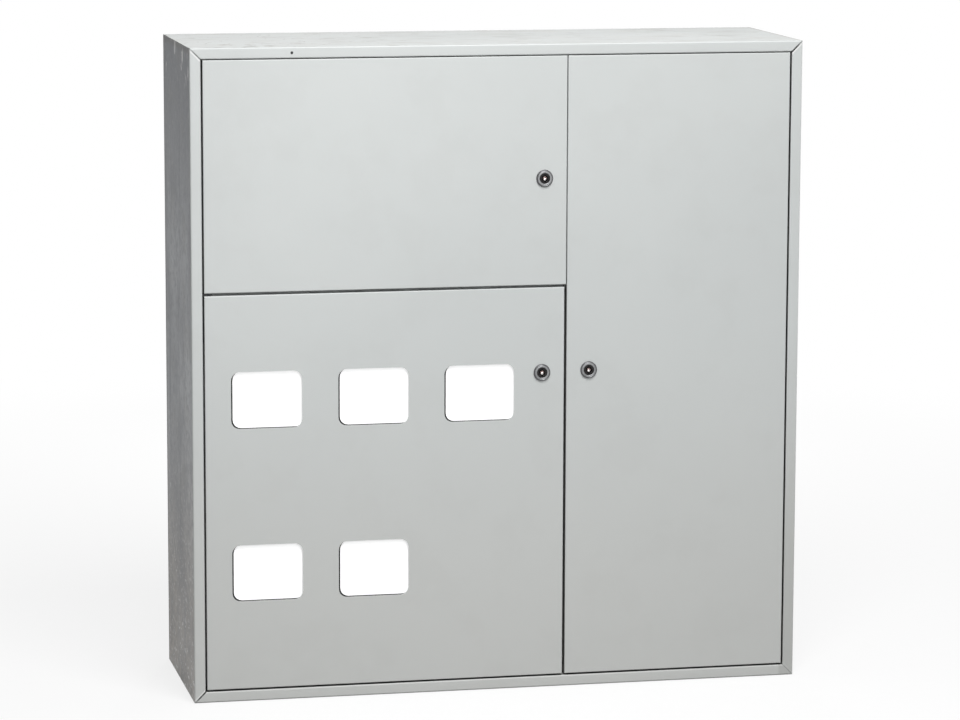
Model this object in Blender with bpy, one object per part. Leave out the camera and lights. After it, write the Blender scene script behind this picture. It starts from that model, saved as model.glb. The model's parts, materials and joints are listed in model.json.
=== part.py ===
"""Three-door sheet-steel floor board: breaker, meter and telecom compartments behind flush doors.

Metres, +Z up. The front faces -Y. The origin is at the bottom, in the middle of the outer box.
Inside this file a place is first given in board coordinates: x from the left outer face,
d (depth) back from the front face, z up from the bottom. board_point turns them into world places.
"""

import math

import bmesh
import bpy
from mathutils import Matrix, Vector

# Outer box
WIDTH = 0.950
HEIGHT = 1.000
DEPTH = 0.300

# Folded walls, whose fronts make the frame
SHEET = 0.0015
BEND = 0.0015
BEND_STEPS = 3
FRAME_FACE = 0.017
STOP_GAP = 0.003
STOP_LIP = 0.012
REAR_FLANGE = 0.022
FIT = 0.0003
PANEL_EDGE_GAP = 0.0012

# Doors
DOOR_GAP = 0.0025
TOP_GAP = 0.0012
DOOR_RETURN = 0.015
HINGE_RETURN = 0.012
HINGE_STRIP = 0.006
DOOR_HEM = 0.010
DOOR_EDGE_RADIUS = 0.0018
DOOR_EDGE_STEPS = 3
DIVIDER_X = 0.579
SHELF_Z = 0.629
DOORS_APART = 0.004
BREAKER_DOOR_SHORT = 0.0005
METER_DOOR_SHORT = 0.0031
TELECOM_DOOR_SHORT = 0.0007

# Hinge pins
PIN_IN = 0.008
PIN_BACK = 0.0055
PIN_RADIUS = 0.0025
PIN_COLLAR_RADIUS = 0.0034
PIN_HEAD_RADIUS = 0.0034
PIN_HEAD = 0.0015
PIN_REACH = 0.009
PIN_CLEAR = 0.0003
PIN_STEPS = 24
LUG_THICK = 0.002
LUG_REACH = 0.0150
LUG_FRONT = 0.0018

# Stop angles and dividers
STOP_FLANGE = 0.019
STOP_LEG = 0.018

# Quarter-turn locks
LOCK_SETBACK = 0.035
BREAKER_LOCK_BELOW_MIDDLE = 0.01135
METER_LOCK_BELOW_TOP = 0.1315
TELECOM_LOCK_BELOW_MIDDLE = 0.00315
BEZEL_RADIUS = 0.0135
BEZEL_PROUD = 0.003
BEZEL_CHAMFER = 0.0008
BARREL_RADIUS = 0.010
ROTOR_RADIUS = 0.0078
ROTOR_RECESS = 0.0012
ROTOR_SHOULDER = 0.012
SHANK_RADIUS = 0.0045
SQUARE = 0.007
SOCKET_RADIUS = 0.0052
SOCKET_DEPTH = 0.008
POST_RADIUS = 0.0022
BIT_WIDTH = 0.0024
BIT_REACH = 0.0068
NUT_ACROSS = 0.027
NUT_THICK = 0.005
CAM_END_GAP = 0.005
CAM_TAIL = 0.009
CAM_WIDTH = 0.018
CAM_THICK = 0.0025
CAM_CLEAR = 0.003
SCREW_RADIUS = 0.0025
SCREW_LENGTH = 0.009
SCREW_HEAD_RADIUS = 0.0060
SCREW_HEAD = 0.0035
ROUND_STEPS = 32
SCREW_STEPS = 20

# Meter windows
WINDOW_WIDE = 0.109
WINDOW_HIGH = 0.087
WINDOW_RADIUS = 0.013
WINDOW_STEPS = 5
WINDOW_FIRST_MIDDLE = 0.1137
WINDOW_PITCH = 0.1645
UPPER_ROW_Z = 0.4665
LOWER_ROW_Z = 0.1997
UPPER_ROW_COUNT = 3
LOWER_ROW_COUNT = 2
SEAL_EDGE = 0.012
SEAL_THICK = 0.0030
SEAL_SHIFT_X = 0.0026
SEAL_SHIFT_Z = 0.0009
PANE_THICK = 0.003
RAIL_OVERLAP = 0.006
RAIL_FOOT = 0.012
RAIL_SHEET = 0.0012

# Inside fittings
PLATE_STANDOFF = 0.070
PLATE_FOOT = 0.015
METER_PLATE_MARGIN = 0.022
METER_PLATE_HIGH = 0.180
METER_SLOT = (0.006, 0.090)
UPRIGHT_WIDE = 0.040
UPRIGHT_STANDOFF = 0.060
UPRIGHT_INSET = 0.065
UPRIGHT_END_GAP = 0.012
DIN_WIDE = 0.035
DIN_DEEP = 0.0075
DIN_CROWN = 0.027
DIN_SHEET = 0.001
DIN_ROWS = (0.30, 0.72)
TELECOM_MARGIN_X = 0.035
TELECOM_MARGIN_Z = 0.090
TELECOM_HOLE = 0.008
TELECOM_COLUMNS = 5
TELECOM_ROWS = 12
BAR_LONG = 0.180
BAR_HIGH = 0.012
BAR_THICK = 0.008
BAR_Z = 0.075
BAR_X = 0.400
BAR_HOLES = 9
BAR_HOLE_RADIUS = 0.0025
BAR_HOLE_STEPS = 16
POST_SIDE = 0.014
POST_HIGH = 0.035

# Cable entry
ENTRY_WIDE = 0.220
ENTRY_DEEP = 0.090
ENTRY_BACK = 0.150
GLAND_OVERLAP = 0.015
GLAND_THICK = 0.002
GLAND_HOLE_RADIUS = 0.018
GLAND_HOLES = 3
GLAND_HOLE_STEPS = 24

# Wall fixing holes in the back panel
FIXING_RADIUS = 0.005
FIXING_INSET_X = 0.075
FIXING_INSET_Z = 0.060
FIXING_STEPS = 20

FRONT_Y = (BEZEL_PROUD - DEPTH) / 2
STOP_DEPTH = DOOR_RETURN + STOP_GAP
BACK_FACE = DEPTH - SHEET - FIT
BACK_FRONT = BACK_FACE - SHEET
STOP_BACK = STOP_DEPTH + SHEET
LIP_END = FRAME_FACE - SHEET / 2 + STOP_LIP
WALL_INSIDE = SHEET + FIT
CAM_FRONT = STOP_BACK + CAM_CLEAR
BARREL_BACK = CAM_FRONT - CAM_CLEAR
CAM_REACH = LOCK_SETBACK - CAM_END_GAP
ACROSS = Matrix.Rotation(math.radians(90), 4, "X")


def board_point(x, d, z):
    return Vector((x - WIDTH / 2, FRONT_Y + d, z))


# ---- Materials -------------------------------------------------------------------------------


def make_material(name, colour, roughness, metallic):
    material = bpy.data.materials.new(name)
    material.use_nodes = True
    shader = material.node_tree.nodes["Principled BSDF"]
    shader.inputs["Base Color"].default_value = (*colour, 1.0)
    shader.inputs["Roughness"].default_value = roughness
    shader.inputs["Metallic"].default_value = metallic
    material.diffuse_color = (*colour, 1.0)
    return material


def make_materials():
    return {
        "coat": make_material("grey_powder_coat", (0.63, 0.65, 0.64), 0.45, 0.0),
        "zinc": make_material("zinc_plate", (0.62, 0.62, 0.60), 0.35, 1.0),
        "lock": make_material("lock_die_cast", (0.34, 0.35, 0.36), 0.35, 0.9),
        "rotor": make_material("lock_dark_insert", (0.05, 0.05, 0.055), 0.3, 0.8),
        "seal": make_material("black_rubber", (0.02, 0.02, 0.02), 0.7, 0.0),
        "pane": make_material("opal_acrylic", (0.92, 0.92, 0.92), 0.2, 0.0),
        "galvanised": make_material("galvanised_sheet", (0.55, 0.56, 0.57), 0.4, 1.0),
        "brass": make_material("brass_bar", (0.72, 0.53, 0.24), 0.3, 1.0),
        "insulator": make_material("red_insulator", (0.45, 0.06, 0.04), 0.5, 0.0),
    }


# ---- Shapes ----------------------------------------------------------------------------------


def clear_scene():
    for obj in list(bpy.data.objects):
        bpy.data.objects.remove(obj, do_unlink=True)


def add_object(name, bm, material, location=(0, 0, 0), parent=None):
    """Makes an object from a bmesh whose points are relative to location, in world axes."""
    bmesh.ops.recalc_face_normals(bm, faces=bm.faces)
    mesh = bpy.data.meshes.new(name)
    bm.to_mesh(mesh)
    bm.free()
    if material is not None:
        mesh.materials.append(material)
    obj = bpy.data.objects.new(name, mesh)
    bpy.context.scene.collection.objects.link(obj)
    obj.parent = parent
    obj.location = Vector(location) - (parent.location if parent else Vector())
    return obj


def shade_round(obj, degrees=35):
    obj.data.shade_smooth()
    obj.data.set_sharp_from_angle(angle=math.radians(degrees))


def add_box(bm, low, high):
    """Adds a box between two corners and returns its points."""
    low = Vector(low)
    high = Vector(high)
    middle = (low + high) / 2
    size = high - low
    placed = Matrix.Translation(middle) @ Matrix.Diagonal((*size, 1.0))
    return bmesh.ops.create_cube(bm, size=1.0, matrix=placed)["verts"]


def box_bmesh(low, high):
    bm = bmesh.new()
    add_box(bm, low, high)
    return bm


def board_box(x_range, d_range, z_range):
    """A bmesh box given in board coordinates."""
    low = board_point(x_range[0], d_range[0], z_range[0])
    high = board_point(x_range[1], d_range[1], z_range[1])
    return box_bmesh(low, high)


def folded_outline(path, sheet, bend):
    """Closed outline of a folded strip: path is its middle line, with a bend at each inner corner."""
    left = []
    right = []

    def put(point, normal):
        left.append(point + normal * sheet / 2)
        right.append(point - normal * sheet / 2)

    points = [Vector(point) for point in path]
    first = (points[1] - points[0]).normalized()
    put(points[0], Vector((-first.y, first.x)))
    for before, corner, after in zip(points, points[1:], points[2:]):
        along = (corner - before).normalized()
        away = (after - corner).normalized()
        turn = 1 if along.x * away.y - along.y * away.x > 0 else -1
        inward = Vector((-along.y, along.x)) * turn
        centre = corner - along * bend + inward * bend
        for step in range(BEND_STEPS + 1):
            angle = turn * math.radians(90) * step / BEND_STEPS
            spoke = Matrix.Rotation(angle, 2) @ -inward
            put(centre + spoke * bend, spoke * -turn)
    last = (points[-1] - points[-2]).normalized()
    put(points[-1], Vector((-last.y, last.x)))
    return left + right[::-1]


def prism(outline, place, start, end):
    """Extrudes an outline of (u, v) points: place(u, v, w) gives the point, start(u) and end(u) give w."""
    bm = bmesh.new()
    near = [bm.verts.new(place(u, v, start(u))) for u, v in outline]
    far = [bm.verts.new(place(u, v, end(u))) for u, v in outline]
    bm.faces.new(near)
    bm.faces.new(far[::-1])
    for index, point in enumerate(near):
        following = (index + 1) % len(near)
        bm.faces.new((point, far[index], far[following], near[following]))
    return bm


def straight_prism(outline, place, start, end):
    return prism(outline, place, lambda u: start, lambda u: end)


def turned(profile, steps=ROUND_STEPS):
    """Turns a closed (radius, depth) profile about the depth axis, which runs along +Y.

    A profile whose ends have no radius closes on the axis, and any other one makes a ring.
    """
    bm = bmesh.new()
    rings = []
    for radius, depth in profile:
        if radius == 0:
            rings.append([bm.verts.new((0, depth, 0))])
            continue
        ring = []
        for step in range(steps):
            angle = 2 * math.pi * (step + 0.5) / steps
            ring.append(bm.verts.new((radius * math.cos(angle), depth, radius * math.sin(angle))))
        rings.append(ring)
    pairs = list(zip(rings, rings[1:]))
    if len(rings[0]) > 1:
        pairs.append((rings[-1], rings[0]))
    for one, two in pairs:
        for step in range(steps):
            following = (step + 1) % steps
            corners = [one[step % len(one)], one[following % len(one)]]
            corners += [two[following % len(two)], two[step % len(two)]]
            face = list(dict.fromkeys(corners))
            bm.faces.new(face)
    return bm


def round_rod(radius, start, end, steps=ROUND_STEPS):
    return turned([(0, start), (radius, start), (radius, end), (0, end)], steps)


def upright(bm):
    """Turns a shape made along +Y so that it runs along +Z."""
    bmesh.ops.transform(bm, matrix=ACROSS, verts=bm.verts)
    return bm


def rounded_outline(wide, high, radius, steps):
    points = []
    for x_side, z_side, start in ((1, 1, 0), (-1, 1, 90), (-1, -1, 180), (1, -1, 270)):
        for step in range(steps + 1):
            angle = math.radians(start + 90 * step / steps)
            x = x_side * (wide / 2 - radius) + radius * math.cos(angle)
            z = z_side * (high / 2 - radius) + radius * math.sin(angle)
            points.append((x, z))
    return points


def front_plate(outline, start, end):
    """Extrudes an (x, z) outline along +Y."""
    return straight_prism(outline, lambda x, z, y: (x, y, z), start, end)


def cutter(name, bm, location=(0, 0, 0)):
    obj = add_object(name, bm, None, location)
    obj.hide_render = True
    obj.display_type = "WIRE"
    return obj


def cut(obj, tools, operation="DIFFERENCE"):
    """Cuts each tool from the object, or joins it, and removes the tools."""
    for tool in tools:
        modifier = obj.modifiers.new(tool.name, "BOOLEAN")
        modifier.operation = operation
        modifier.solver = "EXACT"
        modifier.object = tool
    bpy.context.view_layer.update()
    graph = bpy.context.evaluated_depsgraph_get()
    finished = bpy.data.meshes.new_from_object(obj.evaluated_get(graph))
    finished.name = obj.name
    obj.modifiers.clear()
    obj.data = finished
    for tool in tools:
        bpy.data.objects.remove(tool, do_unlink=True)


# ---- Walls -----------------------------------------------------------------------------------


def wall_outline():
    """Section of a wall, as (in from the outer face, depth): flange, wall, frame face and stop lip."""
    half = SHEET / 2
    path = [
        (REAR_FLANGE, DEPTH - half),
        (half, DEPTH - half),
        (half, half),
        (FRAME_FACE - half, half),
        (FRAME_FACE - half, STOP_DEPTH + half),
        (LIP_END, STOP_DEPTH + half),
    ]
    return folded_outline(path, SHEET, BEND)


def make_wall(name, place, length, material):
    """A folded wall with 45 degree ends, set back by half the fit from its neighbours."""
    mitre = FIT * math.sqrt(2) / 2
    bm = prism(wall_outline(), place, lambda u: u + mitre, lambda u: length - u - mitre)
    wall = add_object(name, bm, material)
    shade_round(wall)
    return wall


def make_walls(materials):
    coat = materials["coat"]
    return {
        "left": make_wall("left_side_wall", lambda u, v, w: board_point(u, v, w), HEIGHT, coat),
        "right": make_wall("right_side_wall", lambda u, v, w: board_point(WIDTH - u, v, w), HEIGHT, coat),
        "top": make_wall("top_wall", lambda u, v, w: board_point(w, v, HEIGHT - u), WIDTH, coat),
        "bottom": make_wall("bottom_wall", lambda u, v, w: board_point(w, v, u), WIDTH, coat),
    }


def make_back_panel(materials):
    low = SHEET + PANEL_EDGE_GAP
    panel = add_object(
        "back_panel",
        board_box((low, WIDTH - low), (BACK_FRONT, BACK_FACE), (low, HEIGHT - low)),
        materials["coat"],
    )
    holes = []
    for x in (FIXING_INSET_X, WIDTH - FIXING_INSET_X):
        for z in (FIXING_INSET_Z, HEIGHT - FIXING_INSET_Z):
            rod = round_rod(FIXING_RADIUS, -SHEET, 2 * SHEET, FIXING_STEPS)
            holes.append(cutter("fixing_hole", rod, board_point(x, BACK_FRONT, z)))
    cut(panel, holes)


def make_vertical_divider(materials):
    """An L of sheet from top to bottom: its web parts the compartments, its flange stops the right door."""
    half = SHEET / 2
    web_x = DIVIDER_X + half - FIT
    path = [
        (web_x, BACK_FRONT - FIT),
        (web_x, STOP_DEPTH + half),
        (web_x + STOP_FLANGE, STOP_DEPTH + half),
    ]
    outline = folded_outline(path, SHEET, BEND)
    bm = straight_prism(outline, board_point, WALL_INSIDE, HEIGHT - WALL_INSIDE)
    divider = add_object("vertical_divider", bm, materials["coat"])
    notch = LIP_END + FIT
    reach = (web_x - STOP_FLANGE, web_x + 2 * STOP_FLANGE)
    front = (0, STOP_BACK + FIT)
    bottom_notch = board_box(reach, front, (0, notch))
    top_notch = board_box(reach, front, (HEIGHT - notch, HEIGHT))
    cut(divider, [cutter("bottom_notch", bottom_notch), cutter("top_notch", top_notch)])
    shade_round(divider)


def divider_left_face():
    return DIVIDER_X - FIT


def angle_leg_x():
    """Middle of the stop angle's leg, which lies along the left of the divider's web."""
    return divider_left_face() - FIT - SHEET / 2


def angle_flange_end():
    return angle_leg_x() - STOP_FLANGE


def make_divider_stop_angle(materials):
    """An L whose flange stops the two left doors, fixed along the divider's web."""
    half = SHEET / 2
    path = [
        (angle_leg_x(), STOP_DEPTH + STOP_LEG),
        (angle_leg_x(), STOP_DEPTH + half),
        (angle_flange_end(), STOP_DEPTH + half),
    ]
    outline = folded_outline(path, SHEET, BEND)
    end = LIP_END + FIT
    bm = straight_prism(outline, board_point, end, HEIGHT - end)
    shade_round(add_object("divider_stop_angle", bm, materials["coat"]))


def along_x(u, v, w):
    """Places a section given as (height, depth) that runs along x."""
    return board_point(w, v, u)


def make_shelf_divider(materials):
    """An L of sheet between the two left compartments: its flange stops the upper door."""
    half = SHEET / 2
    web_z = SHELF_Z + half - FIT
    path = [
        (web_z, BACK_FRONT - FIT),
        (web_z, STOP_DEPTH + half),
        (web_z + STOP_FLANGE, STOP_DEPTH + half),
    ]
    outline = folded_outline(path, SHEET, BEND)
    right_end = angle_leg_x() - SHEET / 2 - FIT
    bm = straight_prism(outline, along_x, WALL_INSIDE, right_end)
    shelf = add_object("shelf_divider", bm, materials["coat"])
    front = (0, STOP_BACK + FIT)
    heights = (web_z - STOP_FLANGE, web_z + 2 * STOP_FLANGE)
    left_notch = board_box((0, LIP_END + FIT), front, heights)
    right_notch = board_box((angle_flange_end() - FIT, right_end + STOP_LIP), front, heights)
    cut(shelf, [cutter("left_notch", left_notch), cutter("right_notch", right_notch)])
    shade_round(shelf)


def make_shelf_stop_angle(materials):
    """An L under the shelf, whose flange stops the lower door."""
    half = SHEET / 2
    leg_z = SHELF_Z - 2 * FIT - half
    path = [
        (leg_z, STOP_DEPTH + STOP_LEG),
        (leg_z, STOP_DEPTH + half),
        (leg_z - STOP_FLANGE, STOP_DEPTH + half),
    ]
    outline = folded_outline(path, SHEET, BEND)
    bm = straight_prism(outline, along_x, LIP_END + FIT, angle_flange_end() - FIT)
    shade_round(add_object("shelf_stop_angle", bm, materials["coat"]))


# ---- Doors -----------------------------------------------------------------------------------


class Door:
    """Outer edges of a door, the side that its pins are on, and how far its lock is below its top."""

    def __init__(self, name, x_range, z_range, hinge_side, lock_down):
        self.name = name
        self.x_range = x_range
        self.z_range = z_range
        self.hinge_side = hinge_side
        self.lock_z = z_range[1] - lock_down

    @property
    def inward(self):
        """Sign of x from the hinge edge to the closing edge."""
        return 1 if self.hinge_side == "left" else -1

    @property
    def hinge_edge(self):
        return self.x_range[0] if self.hinge_side == "left" else self.x_range[1]

    @property
    def closing_edge(self):
        return self.x_range[1] if self.hinge_side == "left" else self.x_range[0]

    @property
    def pin_x(self):
        return self.hinge_edge + self.inward * PIN_IN

    @property
    def lock_x(self):
        return self.closing_edge - self.inward * LOCK_SETBACK


def plan_doors():
    low_x = FRAME_FACE + DOOR_GAP
    high_x = WIDTH - FRAME_FACE - DOOR_GAP
    low_z = FRAME_FACE + DOOR_GAP
    high_z = HEIGHT - FRAME_FACE - TOP_GAP
    meter_top = SHELF_Z - DOORS_APART / 2
    breaker_bottom = SHELF_Z + DOORS_APART / 2
    breaker_x = (low_x, DIVIDER_X - BREAKER_DOOR_SHORT)
    meter_x = (low_x, DIVIDER_X - METER_DOOR_SHORT)
    telecom_x = (DIVIDER_X + TELECOM_DOOR_SHORT, high_x)
    breaker_down = (high_z - breaker_bottom) / 2 + BREAKER_LOCK_BELOW_MIDDLE
    telecom_down = (high_z - low_z) / 2 + TELECOM_LOCK_BELOW_MIDDLE
    return {
        "breaker": Door("breaker", breaker_x, (breaker_bottom, high_z), "left", breaker_down),
        "meter": Door("meter", meter_x, (low_z, meter_top), "left", METER_LOCK_BELOW_TOP),
        "telecom": Door("telecom", telecom_x, (low_z, high_z), "right", telecom_down),
    }


def hinge_empty(door):
    """An empty on the door's hinge axis, which carries the door and all that is fixed to it."""
    empty = bpy.data.objects.new(door.name + "_door_hinge", None)
    bpy.context.scene.collection.objects.link(empty)
    empty.location = board_point(door.pin_x, PIN_BACK, door.z_range[0])
    return empty


def door_shell(door):
    """The tray before its holes: a box with rounded front edges."""
    low = board_point(door.x_range[0], 0, door.z_range[0])
    high = board_point(door.x_range[1], DOOR_RETURN, door.z_range[1])
    bm = box_bmesh(low, high)
    front = [edge for edge in bm.edges if all(abs(v.co.y - low.y) < FIT for v in edge.verts)]
    bmesh.ops.bevel(
        bm,
        geom=front,
        offset=DOOR_EDGE_RADIUS,
        segments=DOOR_EDGE_STEPS,
        profile=0.5,
        affect="EDGES",
    )
    return bm


def ordered(one, two):
    return (min(one, two), max(one, two))


def make_door(door, empty, materials):
    origin = Vector(empty.location)
    bm = door_shell(door)
    bmesh.ops.translate(bm, vec=-origin, verts=bm.verts)
    shell = add_object(door.name + "_door", bm, materials["coat"], origin, empty)
    inside_x = (door.x_range[0] + SHEET, door.x_range[1] - SHEET)
    inside_z = (door.z_range[0] + SHEET, door.z_range[1] - SHEET)
    tray = board_box(inside_x, (SHEET, DOOR_RETURN - SHEET), inside_z)
    hinge_inside = door.hinge_edge + door.inward * SHEET
    closing_hem = door.closing_edge - door.inward * DOOR_HEM
    mouth_x = ordered(hinge_inside, closing_hem)
    mouth_z = (door.z_range[0] + DOOR_HEM, door.z_range[1] - DOOR_HEM)
    mouth = board_box(mouth_x, (DOOR_RETURN - 2 * SHEET, DOOR_RETURN + SHEET), mouth_z)
    strip_x = ordered(door.hinge_edge - door.inward * SHEET, door.hinge_edge + door.inward * HINGE_STRIP)
    strip_z = (door.z_range[0] - SHEET, door.z_range[1] + SHEET)
    strip = board_box(strip_x, (HINGE_RETURN, DOOR_RETURN + SHEET), strip_z)
    tools = [cutter("tray", tray), cutter("mouth", mouth), cutter("hinge_strip", strip)]
    for z in door.z_range:
        rod = upright(round_rod(PIN_RADIUS + PIN_CLEAR, -2 * SHEET, 2 * SHEET, PIN_STEPS))
        tools.append(cutter("pin_hole", rod, board_point(door.pin_x, PIN_BACK, z)))
    lock_rod = round_rod(BARREL_RADIUS + FIT, -SHEET, 2 * SHEET)
    tools.append(cutter("lock_hole", lock_rod, board_point(door.lock_x, 0, door.lock_z)))
    if door.name == "meter":
        outline = rounded_outline(WINDOW_WIDE, WINDOW_HIGH, WINDOW_RADIUS, WINDOW_STEPS)
        for x, z in window_centres():
            plug = front_plate(outline, -SHEET, 2 * SHEET)
            tools.append(cutter("window", plug, board_point(x, 0, z)))
    cut(shell, tools)
    shade_round(shell)
    return shell


# ---- Hinge pins ------------------------------------------------------------------------------


def pin_profile(gap):
    """Half section of a shoulder pin: head, the wall from 0 to SHEET, collar in the gap, tip."""
    top = SHEET + gap + PIN_REACH
    collar_low = SHEET + FIT
    collar_high = SHEET + gap - FIT
    return [
        (0, -FIT - PIN_HEAD),
        (PIN_HEAD_RADIUS, -FIT - PIN_HEAD),
        (PIN_HEAD_RADIUS, -FIT),
        (PIN_RADIUS, -FIT),
        (PIN_RADIUS, collar_low),
        (PIN_COLLAR_RADIUS, collar_low),
        (PIN_COLLAR_RADIUS, collar_high),
        (PIN_RADIUS, collar_high),
        (PIN_RADIUS, top - PIN_RADIUS / 2),
        (PIN_RADIUS / 2, top),
        (0, top),
    ]


def make_frame_pin(name, door, wall, at_top, materials):
    """A pin through the frame's inner return, with the door's end return on it."""
    bm = upright(turned(pin_profile(TOP_GAP if at_top else DOOR_GAP), PIN_STEPS))
    if at_top:
        bmesh.ops.rotate(bm, matrix=Matrix.Rotation(math.pi, 3, "X"), verts=bm.verts)
    wall_z = HEIGHT - FRAME_FACE + SHEET if at_top else FRAME_FACE - SHEET
    place = board_point(door.pin_x, PIN_BACK, wall_z)
    shade_round(add_object(name, bm, materials["zinc"], place))
    rod = upright(round_rod(PIN_RADIUS + PIN_CLEAR, -2 * SHEET, 2 * SHEET, PIN_STEPS))
    cut(wall, [cutter("frame_pin_hole", rod, place)])


def make_middle_hinge(door, materials):
    """The lug between the two left doors, and the pin through it that both doors turn on."""
    lug_low = SHELF_Z - LUG_THICK / 2
    lug_high = SHELF_Z + LUG_THICK / 2
    start = FRAME_FACE + FIT
    lug = add_object(
        "middle_hinge_lug",
        board_box((start, start + LUG_REACH), (LUG_FRONT, STOP_DEPTH - FIT), (lug_low, lug_high)),
        materials["zinc"],
    )
    place = board_point(door.pin_x, PIN_BACK, SHELF_Z)
    rod = upright(round_rod(PIN_RADIUS + PIN_CLEAR, -LUG_THICK, LUG_THICK, PIN_STEPS))
    cut(lug, [cutter("lug_hole", rod, place)])
    half = LUG_THICK / 2
    collar_low = half + FIT
    collar_high = DOORS_APART / 2 - FIT
    end = DOORS_APART / 2 + PIN_REACH
    profile = [
        (0, -end),
        (PIN_RADIUS / 2, -end),
        (PIN_RADIUS, -end + PIN_RADIUS / 2),
        (PIN_RADIUS, collar_low),
        (PIN_COLLAR_RADIUS, collar_low),
        (PIN_COLLAR_RADIUS, collar_high),
        (PIN_RADIUS, collar_high),
        (PIN_RADIUS, end - PIN_RADIUS / 2),
        (PIN_RADIUS / 2, end),
        (0, end),
    ]
    bm = upright(turned(profile, PIN_STEPS))
    shade_round(add_object("left_doors_middle_pin", bm, materials["zinc"], place))


# ---- Locks -----------------------------------------------------------------------------------


def make_lock_barrel(door, empty, place, materials):
    """Bezel and barrel in one casting, with a stepped bore for the rotor."""
    bore = ROTOR_RADIUS + FIT
    neck = SHANK_RADIUS + FIT
    front = -BEZEL_PROUD
    profile = [
        (bore, front + BEZEL_CHAMFER / 2),
        (bore + BEZEL_CHAMFER / 2, front),
        (BEZEL_RADIUS - 2 * BEZEL_CHAMFER, front),
        (BEZEL_RADIUS - BEZEL_CHAMFER / 2, front + BEZEL_CHAMFER / 2),
        (BEZEL_RADIUS, front + 2 * BEZEL_CHAMFER),
        (BEZEL_RADIUS, -FIT),
        (BARREL_RADIUS, -FIT),
        (BARREL_RADIUS, BARREL_BACK),
        (neck, BARREL_BACK),
        (neck, ROTOR_SHOULDER + FIT),
        (bore, ROTOR_SHOULDER + FIT),
    ]
    bm = turned(profile)
    shade_round(add_object(door.name + "_lock_barrel", bm, materials["lock"], place, empty))


def make_lock_rotor(door, empty, place, materials):
    """Key insert: a socket with a post and two bit slots in front, a square end for the cam behind."""
    front = -BEZEL_PROUD + ROTOR_RECESS
    end = CAM_FRONT + CAM_THICK - FIT
    profile = [
        (0, front + ROTOR_RECESS / 2),
        (POST_RADIUS, front + ROTOR_RECESS / 2),
        (POST_RADIUS, front + SOCKET_DEPTH),
        (SOCKET_RADIUS, front + SOCKET_DEPTH),
        (SOCKET_RADIUS, front),
        (ROTOR_RADIUS, front),
        (ROTOR_RADIUS, ROTOR_SHOULDER),
        (SHANK_RADIUS, ROTOR_SHOULDER),
        (SHANK_RADIUS, end),
        (0, end),
    ]
    rotor = add_object(door.name + "_lock_rotor", turned(profile), materials["rotor"], place, empty)
    tools = []
    slot_low = (-BIT_WIDTH / 2, front - FIT, -BIT_REACH)
    slot_high = (BIT_WIDTH / 2, front + SOCKET_DEPTH - FIT, BIT_REACH)
    slot = cutter("bit_slot", box_bmesh(slot_low, slot_high), place)
    post = cutter("post_keep", round_rod(POST_RADIUS + FIT, front - SHEET, front + DOOR_RETURN), place)
    cut(slot, [post])
    tools.append(slot)
    flat_start = BARREL_BACK + FIT
    for x_side, z_side in ((1, 0), (-1, 0), (0, 1), (0, -1)):
        middle = Vector((x_side, 0, z_side)) * (SQUARE / 2 + SHANK_RADIUS)
        reach = Vector((SHANK_RADIUS, 0, SHANK_RADIUS))
        low = middle - reach + Vector((0, flat_start, 0))
        high = middle + reach + Vector((0, end + SHEET, 0))
        if x_side:
            low.z -= SHANK_RADIUS
            high.z += SHANK_RADIUS
        else:
            low.x -= SHANK_RADIUS
            high.x += SHANK_RADIUS
        tools.append(cutter("square_flat", box_bmesh(low, high), place))
    thread = round_rod(SCREW_RADIUS + FIT, end - SCREW_LENGTH, end + SHEET, SCREW_STEPS)
    tools.append(cutter("cam_screw_hole", thread, place))
    cut(rotor, tools)
    shade_round(rotor)


def make_lock_cam(door, empty, place, materials):
    """A flat tongue that hangs down when the lock is open and reaches behind the stop when it is shut."""
    half = CAM_WIDTH / 2
    outline = []
    for step in range(9):
        angle = math.pi * step / 8
        outline.append((half * math.cos(angle), CAM_TAIL - half + half * math.sin(angle)))
    tip = CAM_REACH - half / 2
    outline += [(-half, -tip), (-half / 2, -CAM_REACH), (half / 2, -CAM_REACH), (half, -tip)]
    bm = front_plate(outline, CAM_FRONT, CAM_FRONT + CAM_THICK)
    cam = add_object(door.name + "_lock_cam", bm, materials["zinc"], place, empty)
    side = SQUARE / 2 + FIT
    hole = box_bmesh((-side, CAM_FRONT - SHEET, -side), (side, CAM_FRONT + CAM_THICK + SHEET, side))
    cut(cam, [cutter("square_hole", hole, place)])


def make_cam_screw(door, empty, place, materials):
    """Hexagon-head screw that clamps the cam to the rotor."""
    start = CAM_FRONT + CAM_THICK + FIT
    end = start + SCREW_HEAD
    tip = start - SCREW_LENGTH + FIT
    shaft = round_rod(SCREW_RADIUS, tip, end - SHEET, SCREW_STEPS)
    screw = add_object(door.name + "_cam_screw", shaft, materials["zinc"], place, empty)
    head = cutter("screw_head", round_rod(SCREW_HEAD_RADIUS, start, end, 6), place)
    cut(screw, [head], "UNION")


def make_lock_nut(door, empty, place, materials):
    """Hexagon nut behind the door's sheet that holds the barrel."""
    start = SHEET + FIT
    across = NUT_ACROSS / 2 / math.cos(math.pi / 6)
    nut = add_object(
        door.name + "_lock_nut",
        round_rod(across, start, start + NUT_THICK, 6),
        materials["zinc"],
        place,
        empty,
    )
    hole = round_rod(BARREL_RADIUS + FIT, start - SHEET, start + NUT_THICK + SHEET)
    cut(nut, [cutter("nut_hole", hole, place)])
    shade_round(nut)


def make_lock(door, empty, materials):
    place = board_point(door.lock_x, 0, door.lock_z)
    make_lock_barrel(door, empty, place, materials)
    make_lock_nut(door, empty, place, materials)
    turn = bpy.data.objects.new(door.name + "_lock_turn", None)
    bpy.context.scene.collection.objects.link(turn)
    turn.location = place
    make_lock_rotor(door, turn, place, materials)
    make_lock_cam(door, turn, place, materials)
    make_cam_screw(door, turn, place, materials)
    turn.parent = empty
    turn.location = place - empty.location


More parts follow.
